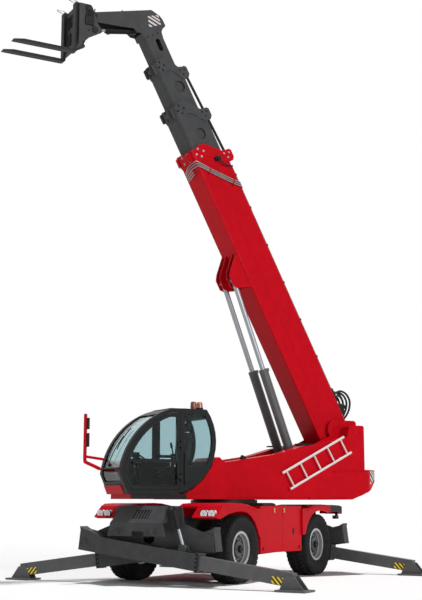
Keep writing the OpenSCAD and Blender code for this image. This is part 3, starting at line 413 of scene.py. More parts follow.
def tyre_piece(name, place):
    """A road tyre with block tread and shoulder lugs, to the size of its CAD solid."""
    piece = Piece(name + "_tread", RUBBER, "wheel_" + name, "tyre_rubber", place)
    half, base = TYRE_W / 2, TYRE_R - LUG
    side = [(BEAD_R, 0.150), (BEAD_R + 0.004, 0.174), (0.345, 0.196), (0.352, 0.203),
            (0.372, 0.205), (0.380, 0.199), (0.430, half - 0.004), (0.470, half),
            (0.520, half - 0.010), (base - 0.012, half - 0.034), (base, half - 0.060)]
    piece.revolve(side + [(base, 0.0)] + [(r, -y) for r, y in reversed(side)], 96)
    for k in range(TREAD_BLOCKS):
        for row, (y0, y1, skew) in enumerate(TREAD_ROWS):
            t = math.tau * (k + 0.5 * (row % 2)) / TREAD_BLOCKS
            drop, wide = (0.0, 0.031) if row < 2 else (0.014, 0.034)
            long = (y1 - y0) / 2
            at = (Matrix.Rotation(-t, 4, "Y")
                  @ Matrix.Translation((base - 0.010, (y0 + y1) / 2, 0))
                  @ Matrix.Rotation(skew if y0 > 0 else -skew, 4, "X"))
            piece.box((0, -long, -wide), (LUG + 0.0085 - drop, long, wide), at)
    return piece


for name, (front, left) in CORNERS.items():
    place = wheel_place(front, left)
    tyre = tyre_piece(name, place).done(smooth_angle=30)
    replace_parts(tyre, "tyre_" + name)
    hub = Piece(name + "_hub_cover", BLACK, "wheel_" + name, "black_paint", place)
    hub.revolve(HUB_LINE, 32, closed=False)
    hub.done()
    nuts = Piece(name + "_wheel_nuts", STEEL, "wheel_" + name, "silver_paint", place)
    for x, z in circle(10, NUT_CIRCLE, 0.5):
        p = Vector((x, 0.078, z))
        nuts.bar(p, p + Vector((0, 0.030, 0)), 0.016, 6)
        nuts.bar(p, p + Vector((0, 0.006, 0)), 0.022, 16)
    for x, z in circle(8, HUB_BOLT_CIRCLE):
        p = Vector((x, 0.186, z))
        nuts.bar(p, p + Vector((0, 0.010, 0)), 0.006, 6)
    nuts.done()

# ---- boom ----
BASE_TIP, RUN_OUT = 6.0, 0.9
# width and height of each section, from the base to the head
SECTION = [(0.580, 0.730), (0.496, 0.624), (0.412, 0.518), (0.328, 0.412)]
SECTION_BODY = ["boom", "boom_2", "boom_3", "boom_4"]
SECTION_TIP = [BASE_TIP, BASE_TIP + RUN_OUT, BASE_TIP + 2 * RUN_OUT]
BASE_SIDE = SECTION[0][0] / 2
# place past the tip and share of the height, for the bolts low on a collar
COLLAR_LOW = ((-0.03, -0.40), (0.06, -0.30), (-0.10, -0.28), (-0.02, -0.16))

for i, tip in enumerate(SECTION_TIP):
    wide, high = SECTION[i]
    body = SECTION_BODY[i]
    collar = Piece("collar_bolts_%d" % i, STEEL if i == 0 else BLACK, body,
                   "silver_paint" if i == 0 else "black_paint", ALONG)
    for side in SIDES:
        y = side * (wide / 2 + 0.016)
        collar.bolts([(tip + u, y, w * high) for u, w in COLLAR_LOW], (0, side, 0), 0.016, 0.014)
        collar.bolts([(tip - 0.23, y, 0.5 * high + 0.04), (tip - 0.31, y, 0.5 * high - 0.02),
                      (tip - 0.21, y, 0.40 * high)], (0, side, 0), 0.014, 0.012)
    rows = (-wide / 2 + 0.09, 0, wide / 2 - 0.09)
    collar.bolts([(tip - 0.10 + 0.13 * k, y, -high / 2 - 0.062) for k in (0, 1) for y in rows],
                 (0, 0, -1), 0.020, 0.016)
    collar.done(0.001)
    clamp = Piece("pad_clamp_%d" % i, RED if i == 0 else BLACK, body,
                  "red_paint" if i == 0 else "black_paint", ALONG)
    for y0 in (-wide / 2 + 0.05, wide / 2 - 0.13):
        clamp.box((tip - 0.115, y0, -high / 2 - 0.082), (tip + 0.045, y0 + 0.08, -high / 2 - 0.060))
    clamp.done(0.004)

# dark strip of hose trays along the top of the base, and the weld line on its sides
tray = Piece("boom_hose_tray", BLACK, "boom", "black_paint", ALONG)
for y in (-0.20, 0.20):
    tray.box((0.35, y - 0.045, 0.366), (5.50, y + 0.045, 0.392))
for u in (0.6, 1.4, 2.2, 3.0, 3.8, 4.6, 5.3):
    tray.box((u, -0.255, 0.364), (u + 0.05, 0.255, 0.400))
tray.done(0.004)
weld = Piece("boom_weld_line", RED, "boom", "red_paint", ALONG)
for side in SIDES:
    weld.bar((0.30, side * BASE_SIDE, -0.075), (5.45, side * BASE_SIDE, -0.020), 0.005, 8)
    weld.prism([(0.20, -0.30), (0.62, -0.30), (0.42, 0.02)], side * 0.2895, side * 0.2945)
weld.done()

# three steel lines across the base behind its tip, each with a loop below
LINE_PITCH = 0.046
LINE_RUN = [(5.84, 0.10, -0.405), (5.85, 0.24, -0.405), (5.84, 0.318, -0.350),
            (5.66, 0.318, -0.18), (5.45, 0.318, 0.03), (5.26, 0.318, 0.23), (5.17, 0.310, 0.345),
            (5.13, 0.24, 0.400)]
LINE_LOOP = [(5.84, 0.10, -0.405), (5.80, 0.02, -0.43), (5.72, -0.04, -0.47), (5.66, 0.00, -0.50),
             (5.70, 0.07, -0.46), (5.74, 0.12, -0.405)]
lines = Piece("boom_lines", LINE, "boom", "silver_paint", ALONG)
for k in range(3):
    lines.tube([(u - LINE_PITCH * k, y, w) for u, y, w in LINE_RUN], 0.0115)
    lines.tube([(u - LINE_PITCH * k, y, w) for u, y, w in LINE_LOOP], 0.0105)
lines.done()
saddles = Piece("boom_line_saddles", RED, "boom", "red_paint", ALONG)
for u, w in ((5.60, -0.17), (5.22, 0.22)):
    turn = Matrix.Translation((u, 0.308, w)) @ Matrix.Rotation(math.radians(47), 4, "Y")
    saddles.box((-0.022, -0.010, -0.085), (0.002, 0.024, 0.085), turn)
saddles.done(0.003)
clips = Piece("boom_line_clips", BLACK, "boom", "black_paint", ALONG)
clips.box((5.70, 0.285, 0.05), (5.79, 0.345, 0.17))
clips.bar((5.745, 0.34, 0.11), (5.745, 0.375, 0.11), 0.045, 20)
clips.tube([(5.70, 0.345, 0.12), (5.62, 0.35, 0.16), (5.55, 0.335, 0.24), (5.50, 0.31, 0.36)],
           0.014)
clips.done(0.003)

FEED_R, FEED_STEPS = 0.027, 8


def across(name, parent, start, end):
    """A feed line running from one boom section to the next, made as a fixed tube."""
    line = Piece(name, HOSE, parent, "black_plastic", ALONG)
    line.tube([Vector(start).lerp(Vector(end), k / FEED_STEPS) for k in range(FEED_STEPS + 1)],
              FEED_R)
    o = line.done(ride=False)
    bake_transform(o)


for tag, y in (("r", -0.16), ("l", 0.16)):
    across("feed_line_mid_" + tag, "boom_2", (6.555, y, 0.374), (7.455, y, 0.321))
    across("feed_line_base_" + tag, "boom", (5.655, y, 0.427), (6.555, y, 0.374))

# wear pads that show in the mouth of each section
for i, tip in enumerate(SECTION_TIP):
    wide, high = SECTION[i + 1]
    pads = Piece("wear_pads_%d" % i, WHITE, SECTION_BODY[i], "white_paint", ALONG)
    for side in SIDES:
        pads.box((tip + 0.055, side * (wide / 2 + 0.004), -0.36 * high),
                 (tip + 0.078, side * (wide / 2 + 0.024), -0.16 * high))
    pads.done(0.002)

# ---- stripes ----
STRIPE_SINK = 0.0005


def clip(poly, keep):
    """Cuts a polygon by a line, keep(p) >= 0."""
    out = []
    for a, b in zip(poly, poly[1:] + poly[:1]):
        ka, kb = keep(a), keep(b)
        if ka >= 0:
            out.append(a)
        if ka * kb < 0:
            t = ka / (ka - kb)
            out.append((a[0] + t * (b[0] - a[0]), a[1] + t * (b[1] - a[1])))
    return out


def stripes(piece, quad, normal, count, slope=1.0, share=0.5, lift=0.0012):
    """Slanting bands on a four-cornered patch, as thin plates on its surface."""
    q = [Vector(p) for p in quad]
    n = Vector(normal).normalized()

    def on(s, t):
        return q[0].lerp(q[1], s).lerp(q[3].lerp(q[2], s), t)

    def lean(p):
        return p[0] + slope * p[1]

    step = (1 + slope) / count
    for k in range(count):
        lo = k * step + step * (1 - share) / 2
        hi = lo + step * share
        poly = clip([(0, 0), (1, 0), (1, 1), (0, 1)], lambda p: lean(p) - lo)
        poly = clip(poly, lambda p: hi - lean(p))
        if len(poly) >= 3:
            piece.plate([on(s, t) - n * STRIPE_SINK for s, t in poly],
                        [on(s, t) + n * lift for s, t in poly])


NECK_SIDE = 0.164
heel = Piece("heel_stripes", WHITE, "boom_4", "white_paint", ALONG)
for side in SIDES:
    y = side * NECK_SIDE
    stripes(heel, [(8.558, y, -0.003), (8.768, y, 0.069), (8.722, y, 0.300), (8.536, y, 0.270)],
            (0, side, 0), 5)
heel.done()

tail = Piece("tail_stripes", WHITE, "turret", "white_paint", UPPER)
back = Piece("tail_stripe_field", SEAL, "turret", "black_plastic", UPPER)
for side in SIDES:
    quad = [(-2.930, side * 0.605, 1.690), (-3.122, side * 0.485, 1.800),
            (-3.122, side * 0.485, 1.955), (-2.930, side * 0.605, 1.963)]
    out = (-0.53, side * 0.848, 0)
    stripes(tail, quad, out, 5, lift=0.002)
    stripes(back, quad, out, 1, slope=0.001, share=1.0, lift=0.001)
tail.done()
back.done()

# ---- outrigger legs ----
LEG_FALL = math.radians(7.4)
LEG_PLANES = (2.62, 2.38)
LEG_PIVOT_Y, LEG_PIVOT_Z = -1.15, 0.68
OUTER_SIDE, INNER_SIDE = 0.105, 0.075
BAND_FROM, BAND_TO, BAND_LOW, BAND_HIGH = 3.60, 3.92, -0.095, 0.015
LEG_HOSE = [(0.0, 0.30, 0.150), (0.02, 0.55, 0.148), (0.045, 0.85, 0.147), (0.05, 1.20, 0.147),
            (0.05, 1.70, 0.147), (0.03, 2.10, 0.147), (0.0, 2.20, 0.152)]


def leg_place(front, left):
    """The frame of a leg: X along the chassis, Y along the beam from its pivot."""
    same = front * left > 0
    m = (CHASSIS @ Matrix.Rotation(0 if front > 0 else math.pi, 4, "Z")
         @ Matrix.Diagonal((1, 1 if same else -1, 1, 1)))
    m = m @ Matrix.Translation((LEG_PLANES[0 if same else 1], LEG_PIVOT_Y, LEG_PIVOT_Z))
    return m @ Matrix.Rotation(-LEG_FALL, 4, "X")


for name, (front, left) in CORNERS.items():
    place = leg_place(front, left)
    bands = Piece("leg_stripes_" + name, YELLOW, "foot_" + name, "amber_lens", place)
    field = Piece("leg_stripe_field_" + name, SEAL, "foot_" + name, "black_plastic", place)
    for side in SIDES:
        x = side * INNER_SIDE
        quad = [(x, BAND_FROM, BAND_LOW), (x, BAND_TO, BAND_LOW), (x, BAND_TO, BAND_HIGH),
                (x, BAND_FROM, BAND_HIGH)]
        stripes(bands, quad, (side, 0, 0), 5, slope=0.40, share=0.48, lift=0.003)
        x0, x1 = sorted((x, x + side * 0.0015))
        field.box((x0, BAND_FROM, BAND_LOW), (x1, BAND_TO, BAND_HIGH))
    bands.done()
    field.done()
    fit = Piece("leg_bolts_" + name, BARREL_AND_HIGHLIGHT, "leg_" + name, "grey_paint", place)
    for side in SIDES:
        fit.bolts([(side * OUTER_SIDE, 2.228, z) for z in (-0.10, -0.03, 0.04, 0.10)],
                  (side, 0, 0), 0.012, 0.0045)
    fit.bolts([(x, 2.235, 0.149) for x in (-0.07, 0, 0.07)], (0, 0, 1), 0.012, 0.0045)
    fit.done()
    # dark band at the beam's mouth, and the hose along its top
    trim = Piece("leg_band_" + name, BLACK, "leg_" + name, "black_paint", place)
    for side in SIDES:
        trim.box((side * OUTER_SIDE - 0.003, 2.205, -0.148),
                 (side * OUTER_SIDE + 0.003, 2.268, 0.148))
    trim.tube(LEG_HOSE, 0.011)
    for s in (0.6, 1.2, 1.6, 2.0):
        trim.box((0.025, s, 0.134), (0.07, s + 0.03, 0.162))
    trim.done(0.002)

# ---- cab ----
CUSHION_POWER, CUSHION_CUTS = 5.0, 14
SEAT_HINGE = Vector((1.330, 0, 1.97))
SEAT_LEAN = (Matrix.Translation(SEAT_HINGE) @ Matrix.Rotation(math.radians(-6.5), 4, "Y")
             @ Matrix.Translation(-SEAT_HINGE))


def cushion(name, lo, hi, at=None):
    """A stuffed block with rounded edges and a slight crown."""
    lo, hi = Vector(lo), Vector(hi)
    bm = bmesh.new()
    bmesh.ops.create_cube(bm, size=2)
    bmesh.ops.subdivide_edges(bm, edges=bm.edges, cuts=CUSHION_CUTS, use_grid_fill=True)
    half = (hi - lo) / 2
    for v in bm.verts:
        c = v.co
        r = sum(abs(e) ** CUSHION_POWER for e in c) ** (1 / CUSHION_POWER)
        crown = (1 + 0.05 * math.cos(c.x * 1.4) * math.cos(c.y * 1.4)
                 - 0.02 * math.exp(-((abs(c.y) - 0.55) / 0.05) ** 2))
        v.co = Vector((c.x * half.x, c.y * half.y, c.z * half.z * crown)) / r
    m = UPPER @ (at or Matrix.Identity(4)) @ Matrix.Translation((lo + hi) / 2)
    bmesh.ops.transform(bm, matrix=m, verts=bm.verts)
    o = mesh_object(name, bm, CLOTH)
    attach(o, "turret")


cushion("seat_cushion", (1.275, 0.565, 1.855), (1.785, 1.055, 1.968))
cushion("seat_back", (1.272, 0.575, 1.985), (1.385, 1.045, 2.555), SEAT_LEAN)
cushion("seat_headrest", (1.275, 0.695, 2.590), (1.350, 0.925, 2.735), SEAT_LEAN)
ARMREST_Y = (0.555, 1.065)
base = Piece("seat_base", PLASTIC, "turret", "black_plastic", UPPER)
base.box((1.42, 0.64, 1.64), (1.72, 0.98, 1.80))
base.box((1.33, 0.59, 1.80), (1.76, 1.03, 1.86))
for k in range(4):
    base.box((1.405, 0.625, 1.665 + 0.034 * k), (1.735, 0.995, 1.683 + 0.034 * k))
for y in (0.76, 0.86):
    base.bar((1.265, y, 2.53), (1.255, y, 2.62), 0.008)
for y in ARMREST_Y:
    base.box((1.36, y - 0.03, 2.13), (1.66, y + 0.03, 2.18))
    base.box((1.34, y - 0.02, 1.90), (1.40, y + 0.02, 2.15))
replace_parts(base.done(0.006), "seat")
# joysticks, pedals, dashboard with its column, and the switch row
levers = Piece("cab_levers", PLASTIC, "turret", "black_plastic", UPPER)
for y in ARMREST_Y:
    levers.bar((1.62, y, 2.17), (1.62 + 0.03, y, 2.30), 0.012)
    levers.bar((1.62 + 0.03, y, 2.28), (1.62 + 0.045, y, 2.37), 0.024, 16, 0.018)
for y in (0.66, 0.78, 0.90):
    levers.box((2.20, y, 1.70), (2.22, y + 0.07, 1.80))
    levers.bar((2.21, y + 0.035, 1.645), (2.24, y + 0.035, 1.72), 0.010)
levers.box((2.19, 0.70, 2.125), (2.33, 0.92, 2.20))
levers.bar((2.16, 0.81, 2.11), (2.24, 0.81, 1.99), 0.028, 16)
levers.box((1.48, 0.47, 2.08), (1.98, 0.54, 2.10))
for k in range(6):
    levers.bar((1.54 + 0.075 * k, 0.505, 2.09), (1.54 + 0.075 * k, 0.505, 2.115), 0.014, 12)
levers.done(0.004)
floor_mat = Piece("cab_floor_mat", SEAL, "turret", "black_plastic", UPPER)
floor_mat.box((1.78, 0.60, 1.640), (2.30, 1.12, 1.648))
for k in range(12):
    floor_mat.box((1.80 + 0.04 * k, 0.61, 1.648), (1.815 + 0.04 * k, 1.11, 1.653))
floor_mat.done()

ARC_X, ARC_Z = 1.36, 1.65
ARM_LOW, ARM_HIGH, WIPER_Y, WIPER_SHIFT = 14, 37, 0.74, 0.10
SCREEN_SIDES = (0.468, 1.142)


def cab_arc(a, r):
    """A point on the windscreen's arc, in X and Z, at an angle in degrees."""
    return ARC_X + r * math.cos(math.radians(a)), ARC_Z + r * math.sin(math.radians(a))


wiper = Piece("wipers", BLACK, "turret", "black_paint", UPPER)
arm = [cab_arc(ARM_LOW + (ARM_HIGH - ARM_LOW) * k / 6, 1.372) for k in range(7)]
wiper.tube([(x, WIPER_Y + WIPER_SHIFT * k / 6, z) for k, (x, z) in enumerate(arm)], 0.009)
blade = [cab_arc(ARM_HIGH - 11 + 19 * k / 6, 1.360) for k in range(7)]
wiper.tube([(x, WIPER_Y + WIPER_SHIFT, z) for x, z in blade], 0.010)
x, z = cab_arc(ARM_LOW, 1.365)
wiper.bar((x - 0.04, WIPER_Y, z), (x + 0.012, WIPER_Y, z), 0.028, 20)
wiper.done(0.002)

seals = Piece("cab_seals", SEAL, "turret", "black_plastic", UPPER)
for y in SCREEN_SIDES:
    arc = [cab_arc(8 + 48 * k / 10, 1.340) for k in range(11)]
    seals.tube([(x, y, z) for x, z in arc], 0.009)
x, z = cab_arc(9, 1.343)
seals.bar((x, SCREEN_SIDES[0], z + 0.06), (x, SCREEN_SIDES[1], z + 0.06), 0.009)
seals.done()
RIGHT_WALL = 0.4505
post = Piece("cab_right_post", BLACK, "turret", "black_paint", UPPER)
post.box((1.575, RIGHT_WALL, 1.93), (1.730, 0.472, 2.885))
post.done(0.004)
trim = Piece("cab_trim_panel", TRIM, "turret", "black_plastic", UPPER)
trim.box((1.46, RIGHT_WALL, 1.66), (2.44, 0.462, 1.925))
for z in (1.74, 1.83):
    trim.box((1.52, 0.461, z), (2.38, 0.467, z + 0.012))
trim.done(0.003)
sill = Piece("cab_sill", BLACK, "turret", "black_paint", UPPER)
sill.box((1.42, 1.1895, 1.412), (2.476, 1.196, 1.489))
sill.done(0.001)
HANDLE_Z = 2.005
grip = Piece("door_handle", PLASTIC, "door", "black_plastic", UPPER)
grip.box((2.30, 1.214, 1.985), (2.46, 1.226, 2.025))
grip.tube([(2.315, 1.222, HANDLE_Z), (2.325, 1.252, HANDLE_Z), (2.38, 1.258, HANDLE_Z),
           (2.435, 1.252, HANDLE_Z), (2.445, 1.222, HANDLE_Z)], 0.011)
grip.bar((2.36, 1.214, 1.955), (2.36, 1.232, 1.955), 0.014, 16)
grip.done(0.002)
RAIL_X = 1.475
RAIL_RUN = [(1.212, 1.66), (1.247, 1.68), (1.250, 1.80), (1.250, 2.06), (1.247, 2.18),
            (1.212, 2.20)]
rail = Piece("cab_grab_rail", BLACK, "turret", "black_paint", UPPER)
rail.tube([(RAIL_X, y, z) for y, z in RAIL_RUN], 0.012)
rail.done()
MAST_X, MAST_Y = 3.0, 0.44
MAST_RUN = [(2.72, 1.923), (2.86, 1.982), (2.975, 2.030), (MAST_X, 2.070), (MAST_X, 2.30),
            (MAST_X, 2.60), (MAST_X, 2.85)]
STAY_RUN = [(2.66, 2.0875), (2.80, 2.105), (MAST_X, 2.130)]
arms = Piece("mirror_arm_tubes", RED, "turret", "red_paint", UPPER)
arms.tube([(x, MAST_Y, z) for x, z in MAST_RUN], 0.030, 12)
arms.tube([(x, MAST_Y, z) for x, z in STAY_RUN], 0.024, 12)
arms.done()
lid = Piece("mirror_housings", PLASTIC, "turret", "black_plastic", UPPER)
for z0, z1 in ((2.292, 2.528), (2.592, 2.788)):
    lid.box((2.956, 0.370, z0), (2.990, 0.530, z1))
lid.bar((MAST_X, MAST_Y, 2.845), (MAST_X, MAST_Y, 2.862), 0.022, 16)
lid.done(0.008)
pane = Piece("mirror_glass", CHROME, "turret", "rod_chrome", UPPER)
for z0, z1 in ((2.303, 2.517), (2.603, 2.777)):
    pane.box((2.9535, 0.381, z0), (2.9565, 0.519, z1))
pane.done(0.001)
BEACON = UPPER @ Matrix.Translation((1.08, 0.80, 2.955))
TWIN = UPPER @ Matrix.Translation((1.11, 1.08, 2.955))
cap = Piece("beacon_base", BLACK, "turret", "black_paint", BEACON)
cap.bar((0, 0, -0.002), (0, 0, 0.034), 0.068, 32)
cap.bar((0, 0, 0.156), (0, 0, 0.168), 0.042, 24, 0.030)
for low, top in zip(circle(10, 0.0555), circle(10, 0.0490)):
    cap.bar((*low, 0.032), (*top, 0.158), 0.003, 6)
cap.done(0.002)
dome = Piece("beacon_twin", AMBER, "turret", "amber_lens", TWIN)
dome.bar((0, 0, 0.030), (0, 0, 0.120), 0.058, 32, 0.052)
dome.bar((0, 0, 0.119), (0, 0, 0.140), 0.052, 32, 0.030)
dome.done(0.004)
cap = Piece("beacon_twin_base", BLACK, "turret", "black_paint", TWIN)
cap.bar((0, 0, -0.020), (0, 0, 0.034), 0.066, 32)
cap.bar((0, -0.28, 0.012), (0, 0, 0.012), 0.012, 12)
cap.done(0.003)
roof = Piece("cab_roof_trim", BLACK, "turret", "black_paint", UPPER)
roof.box((1.16, 0.46, 2.953), (1.72, 1.15, 2.962))
roof.bar((1.30, 0.80, 2.955), (1.30, 0.80, 2.985), 0.16, 32, 0.14)
roof.done(0.004)

# ---- upper structure ----
RIGHT_BOX = -0.640
SEAM_OUT, SEAM_IN = RIGHT_BOX - 0.0015, RIGHT_BOX + 0.002
seam = Piece("turret_seams", SEAL, "turret", "black_plastic", UPPER)
for x, top in ((-0.30, 2.13), (-1.06, 2.28)):
    seam.box((x - 0.003, SEAM_OUT, 1.47), (x + 0.003, SEAM_IN, top))
seam.box((-1.06, SEAM_OUT, 1.475), (-0.30, SEAM_IN, 1.481))
for x in (-0.42, -0.94):
    seam.box((x - 0.05, RIGHT_BOX - 0.006, 1.95), (x + 0.05, SEAM_IN, 1.99))
for k in range(7):
    seam.box((-0.88, SEAM_OUT, 1.56 + 0.035 * k), (-0.56, SEAM_IN, 1.576 + 0.035 * k))
seam.done(0.001)
PIVOT_BOLT_CIRCLE = 0.085
joinery = Piece("turret_bolts", RED, "turret", "red_paint", UPPER)
for side in SIDES:
    y = side * 0.391 - side * 0.006
    joinery.bolts([(BOOM_PIVOT[0] + PIVOT_BOLT_CIRCLE * math.cos(t), y,
                    BOOM_PIVOT[2] + PIVOT_BOLT_CIRCLE * math.sin(t)) for t in (0.8, 2.4, 3.9, 5.5)],
                  (0, side, 0), 0.012, 0.010)
    joinery.bolts([(x, side * 0.64, 2.70) for x in (-2.52, -2.70)], (0, side, 0), 0.018, 0.012)
joinery.done(0.001)
tank = Piece("turret_cap", BLACK, "turret", "black_paint", UPPER)
for side in SIDES:
    y = side * 0.51
    tank.bar((-0.10, y, 2.136), (-0.13, y, 2.190), 0.055, 24)
    tank.box((-1.62, y - 0.07, 2.43), (-1.30, y + 0.07, 2.455))
tank.done(0.004)

LIFT = (UPPER @ Matrix.Translation((-1.52, 0, 1.85))
        @ Matrix.Rotation(-math.atan2(3.699, 1.4104), 4, "Y"))
gland = Piece("lift_glands", BARREL_AND_HIGHLIGHT, "lift_barrel", "black_paint", LIFT)
pipe = Piece("lift_pipes", STEEL, "lift_barrel", "silver_paint", LIFT)
for y in (-0.195, 0.195):
    gland.hoop((2.100, y, 0), (2.156, y, 0), 0.075, 0.0835)
    gland.hoop((0.130, y, 0), (0.175, y, 0), 0.075, 0.0850)
    gland.box((0.30, y - 0.03, 0.07), (0.38, y + 0.03, 0.115))
    gland.box((2.09, y - 0.03, 0.07), (2.15, y + 0.03, 0.118))
    for x in (0.9, 1.5):
        gland.hoop((x, y, 0), (x + 0.03, y, 0), 0.075, 0.0835)
    pipe.tube([(0.34, y, 0.105), (0.50, y, 0.100), (1.2, y, 0.098), (1.95, y, 0.098),
               (2.12, y, 0.108)], 0.011)
gland.done(0.002)
pipe.done()

HOSE_ROWS = (-0.19, -0.11, -0.03, 0.05, 0.13, 0.20)
HOSE_R, HOSE_SPREAD = 0.021, 0.028


def crossing(name, parent, points):
    """A hose from one body to another, made as a fixed tube."""
    pts = [UPPER @ Vector(p) for p in points]
    hose = Piece(name, HOSE, parent, "black_plastic")
    hose.tube(pts, HOSE_R, 10)
    o = hose.done(ride=False)
    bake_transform(o)


for k, y in enumerate(HOSE_ROWS):
    d = HOSE_SPREAD * (k % 3)
    crossing("boom_foot_hose_%d" % k, "turret",
             [(-2.57, y, 2.84), (-2.58 - d / 2, y, 2.96), (-2.64 - d, y + 0.01, 3.08),
              (-2.69 - d, y + 0.02, 3.20), (-2.70 - d, y + 0.02, 3.32 + d / 2),
              (-2.65 - d / 2, y + 0.02, 3.42 + d), (-2.56, y + 0.01, 3.475 + d),
              (-2.46, y, 3.475 + d / 2), (-2.39, y, 3.43)])
foot_block = Piece("boom_foot_block", BLACK, "boom", "black_paint", ALONG)
foot_block.box((0.44, -0.24, 0.364), (0.72, 0.24, 0.425))
foot_block.box((0.16, 0.08, 0.364), (0.36, 0.24, 0.47))
foot_block.bar((0.26, 0.16, 0.46), (0.26, 0.16, 0.56), 0.045, 20)
foot_block.done(0.004)
ferrules = Piece("boom_foot_ferrules", STEEL, "boom", "silver_paint", ALONG)
for y in HOSE_ROWS:
    ferrules.bar((0.57, y, 0.420), (0.55, y, 0.470), 0.027, 12)
    ferrules.bar((0.60, y, 0.424), (0.66, y, 0.424), 0.024, 6)
ferrules.done(0.001)
manifold = Piece("tower_manifold", BLACK, "turret", "black_paint", UPPER)
manifold.box((-2.66, -0.24, 2.828), (-2.52, 0.25, 2.862))
manifold.done(0.004)
ports = Piece("tower_ferrules", STEEL, "turret", "silver_paint", UPPER)
for y in HOSE_ROWS:
    ports.bar((-2.57, y, 2.860), (-2.57, y, 2.915), 0.027, 12)
    ports.bar((-2.62, y, 2.860), (-2.62, y, 2.885), 0.018, 6)
ports.done(0.001)

# slew ring bolts
SLEW_BOLTS, SLEW_BOLT_CIRCLE = 40, 0.650
ring = Piece("slew_bolts", STEEL, "chassis", "silver_paint", CHASSIS)
ring.bolts([(x, y, 1.300) for x, y in circle(SLEW_BOLTS, SLEW_BOLT_CIRCLE)], (0, 0, 1),
           0.017, 0.022)
ring.done(0.001)

# ---- chassis ----
COVER_SIDE = 1.2
latch = Piece("cover_latches", BRASS, "chassis", "silver_paint", CHASSIS)
grips = Piece("cover_grips", BLACK, "chassis", "black_paint", CHASSIS)
for side in SIDES:
    y = side * COVER_SIDE
    for x in (0.28, -0.10):
        latch.box((x - 0.022, y - 0.004, 1.17), (x + 0.022, y + 0.012, 1.255))
        latch.bar((x, y, 1.19), (x, y + side * 0.020, 1.19), 0.013, 16)
    grips.box((-0.50, y - 0.004, 0.78), (-0.44, y + 0.006, 0.90))
    grips.bar((-0.47, y, 0.84), (-0.47, y + side * 0.014, 0.84), 0.018, 16)
    for x in (0.70, -0.70):
        grips.box((x - 0.02, y - 0.004, 0.52), (x + 0.02, y + 0.012, 0.58))
latch.done(0.003)
grips.done(0.003)
lid = Piece("cover_lid", BLACK, "chassis", "black_paint", CHASSIS)
lid.box((0.07, 0.82, 1.288), (0.55, 1.12, 1.330))
lid.box((0.09, 0.84, 1.328), (0.53, 1.10, 1.342))
for k in range(8):
    lid.box((0.11 + 0.052 * k, 0.86, 1.340), (0.135 + 0.052 * k, 1.08, 1.347))
lid.done(0.008)
# undersides of the mudguards, in X and Z
FRONT_UNDER = [(1.000, 1.222), (1.230, 1.272), (1.520, 1.309), (1.790, 1.317), (2.060, 1.305)]
REAR_UNDER = [(-1.000, 1.222), (-1.230, 1.267), (-1.560, 1.292), (-2.400, 1.272),
              (-2.500, 1.250)]
# painted shade: thin black sheets along the mudguards' undersides, standing for the shade under them
underside_shade_sheet = Piece("guard_underside_shade", SEAL, "chassis", "black_plastic", CHASSIS)
for side in SIDES:
    for line in (FRONT_UNDER, REAR_UNDER):
        pts = [(x, z + 0.001) for x, z in line] + [(x, z - 0.006) for x, z in reversed(line)]
        underside_shade_sheet.prism(pts, side * 0.42, side * 1.205)
underside_shade_sheet.done()
RING_LOOP = circle(24, 0.066)
BULB_LOOP = circle(20, 0.034)
rings = Piece("headlamp_rings", BLACK, "chassis", "black_paint", CHASSIS)
bulbs = Piece("headlamp_bulbs", STEEL, "chassis", "silver_paint", CHASSIS)
for side in SIDES:
    for y in (0.975, 1.125):
        c = Vector((2.335, side * y, 1.165))
        rings.tube([c + Vector((0.0, *p)) for p in RING_LOOP + RING_LOOP[:1]], 0.007, 8)
        bulbs.tube([c + Vector((0.0105, *p)) for p in BULB_LOOP + BULB_LOOP[:1]], 0.003, 6)
        bulbs.bar(c + Vector((0.008, 0, 0)), c + Vector((0.013, 0, 0)), 0.014, 16)
rings.done()
bulbs.done()
RED_LENS = paint("red_lens", (0.42, 0.004, 0.008), 0.14, coat=0.5, grain=0.05)
LENS_RIBS = 6
for tag, mat, y0, y1 in (("red", RED_LENS, 0.890, 1.000), ("amber", AMBER, 1.005, 1.095),
                         ("white", LENS, 1.100, 1.190)):
    lens = Piece("rear_lens_" + tag, mat, "chassis",
                 "lamp_lens" if tag == "white" else "amber_lens", CHASSIS)
    for side in SIDES:
        near, far = sorted((side * y0, side * y1))
        lens.box((-2.578, near, 1.152), (-2.566, far, 1.253))
        for k in range(LENS_RIBS):
            y = side * (y0 + (y1 - y0) * (k + 0.5) / LENS_RIBS)
            lens.box((-2.5805, y - 0.004, 1.158), (-2.577, y + 0.004, 1.247))
    lens.done(0.002)
shell = Piece("rear_lamp_shells", BLACK, "chassis", "black_paint", CHASSIS)
for side in SIDES:
    near, far = sorted((side * 0.876, side * 1.204))
    shell.box((-2.5715, near, 1.136), (-2.536, far, 1.269))
shell.done(0.003)
GUARD_SIDE = 1.237
edge = Piece("guard_trim", RED, "chassis", "red_paint", CHASSIS)
for side in SIDES:
    for line in (REAR_UNDER[:3] + [(-2.00, 1.281)], FRONT_UNDER):
        edge.tube([(x, side * GUARD_SIDE, z - 0.006) for x, z in line], 0.011)
edge.done()
# black ends of the rear mudguards, with a small bracket below
END_TOP = [(-2.02, 1.3075), (-2.40, 1.2975), (-2.540, 1.2730)]
END_LOW = [(-2.540, 1.1420), (-2.34, 1.1870), (-2.02, 1.1710)]
END_SKIN = ([(x, z + 0.004) for x, z in END_TOP]
            + [(x, z + 0.0003) for x, z in reversed(END_TOP)])
tails = Piece("rear_guard_ends", BLACK, "chassis", "black_paint", CHASSIS)
for side in SIDES:
    y = side * 1.16
    tails.prism(END_TOP + END_LOW, side * 1.2345, side * 1.2385)
    tails.prism(END_SKIN, side * 0.43, side * 1.2385)
    tails.box((-2.46, y - 0.04, 1.04), (-2.34, y + 0.04, 1.105))
    tails.box((-2.46, y - 0.025, 1.10), (-2.43, y + 0.025, 1.262))
tails.done(0.001)
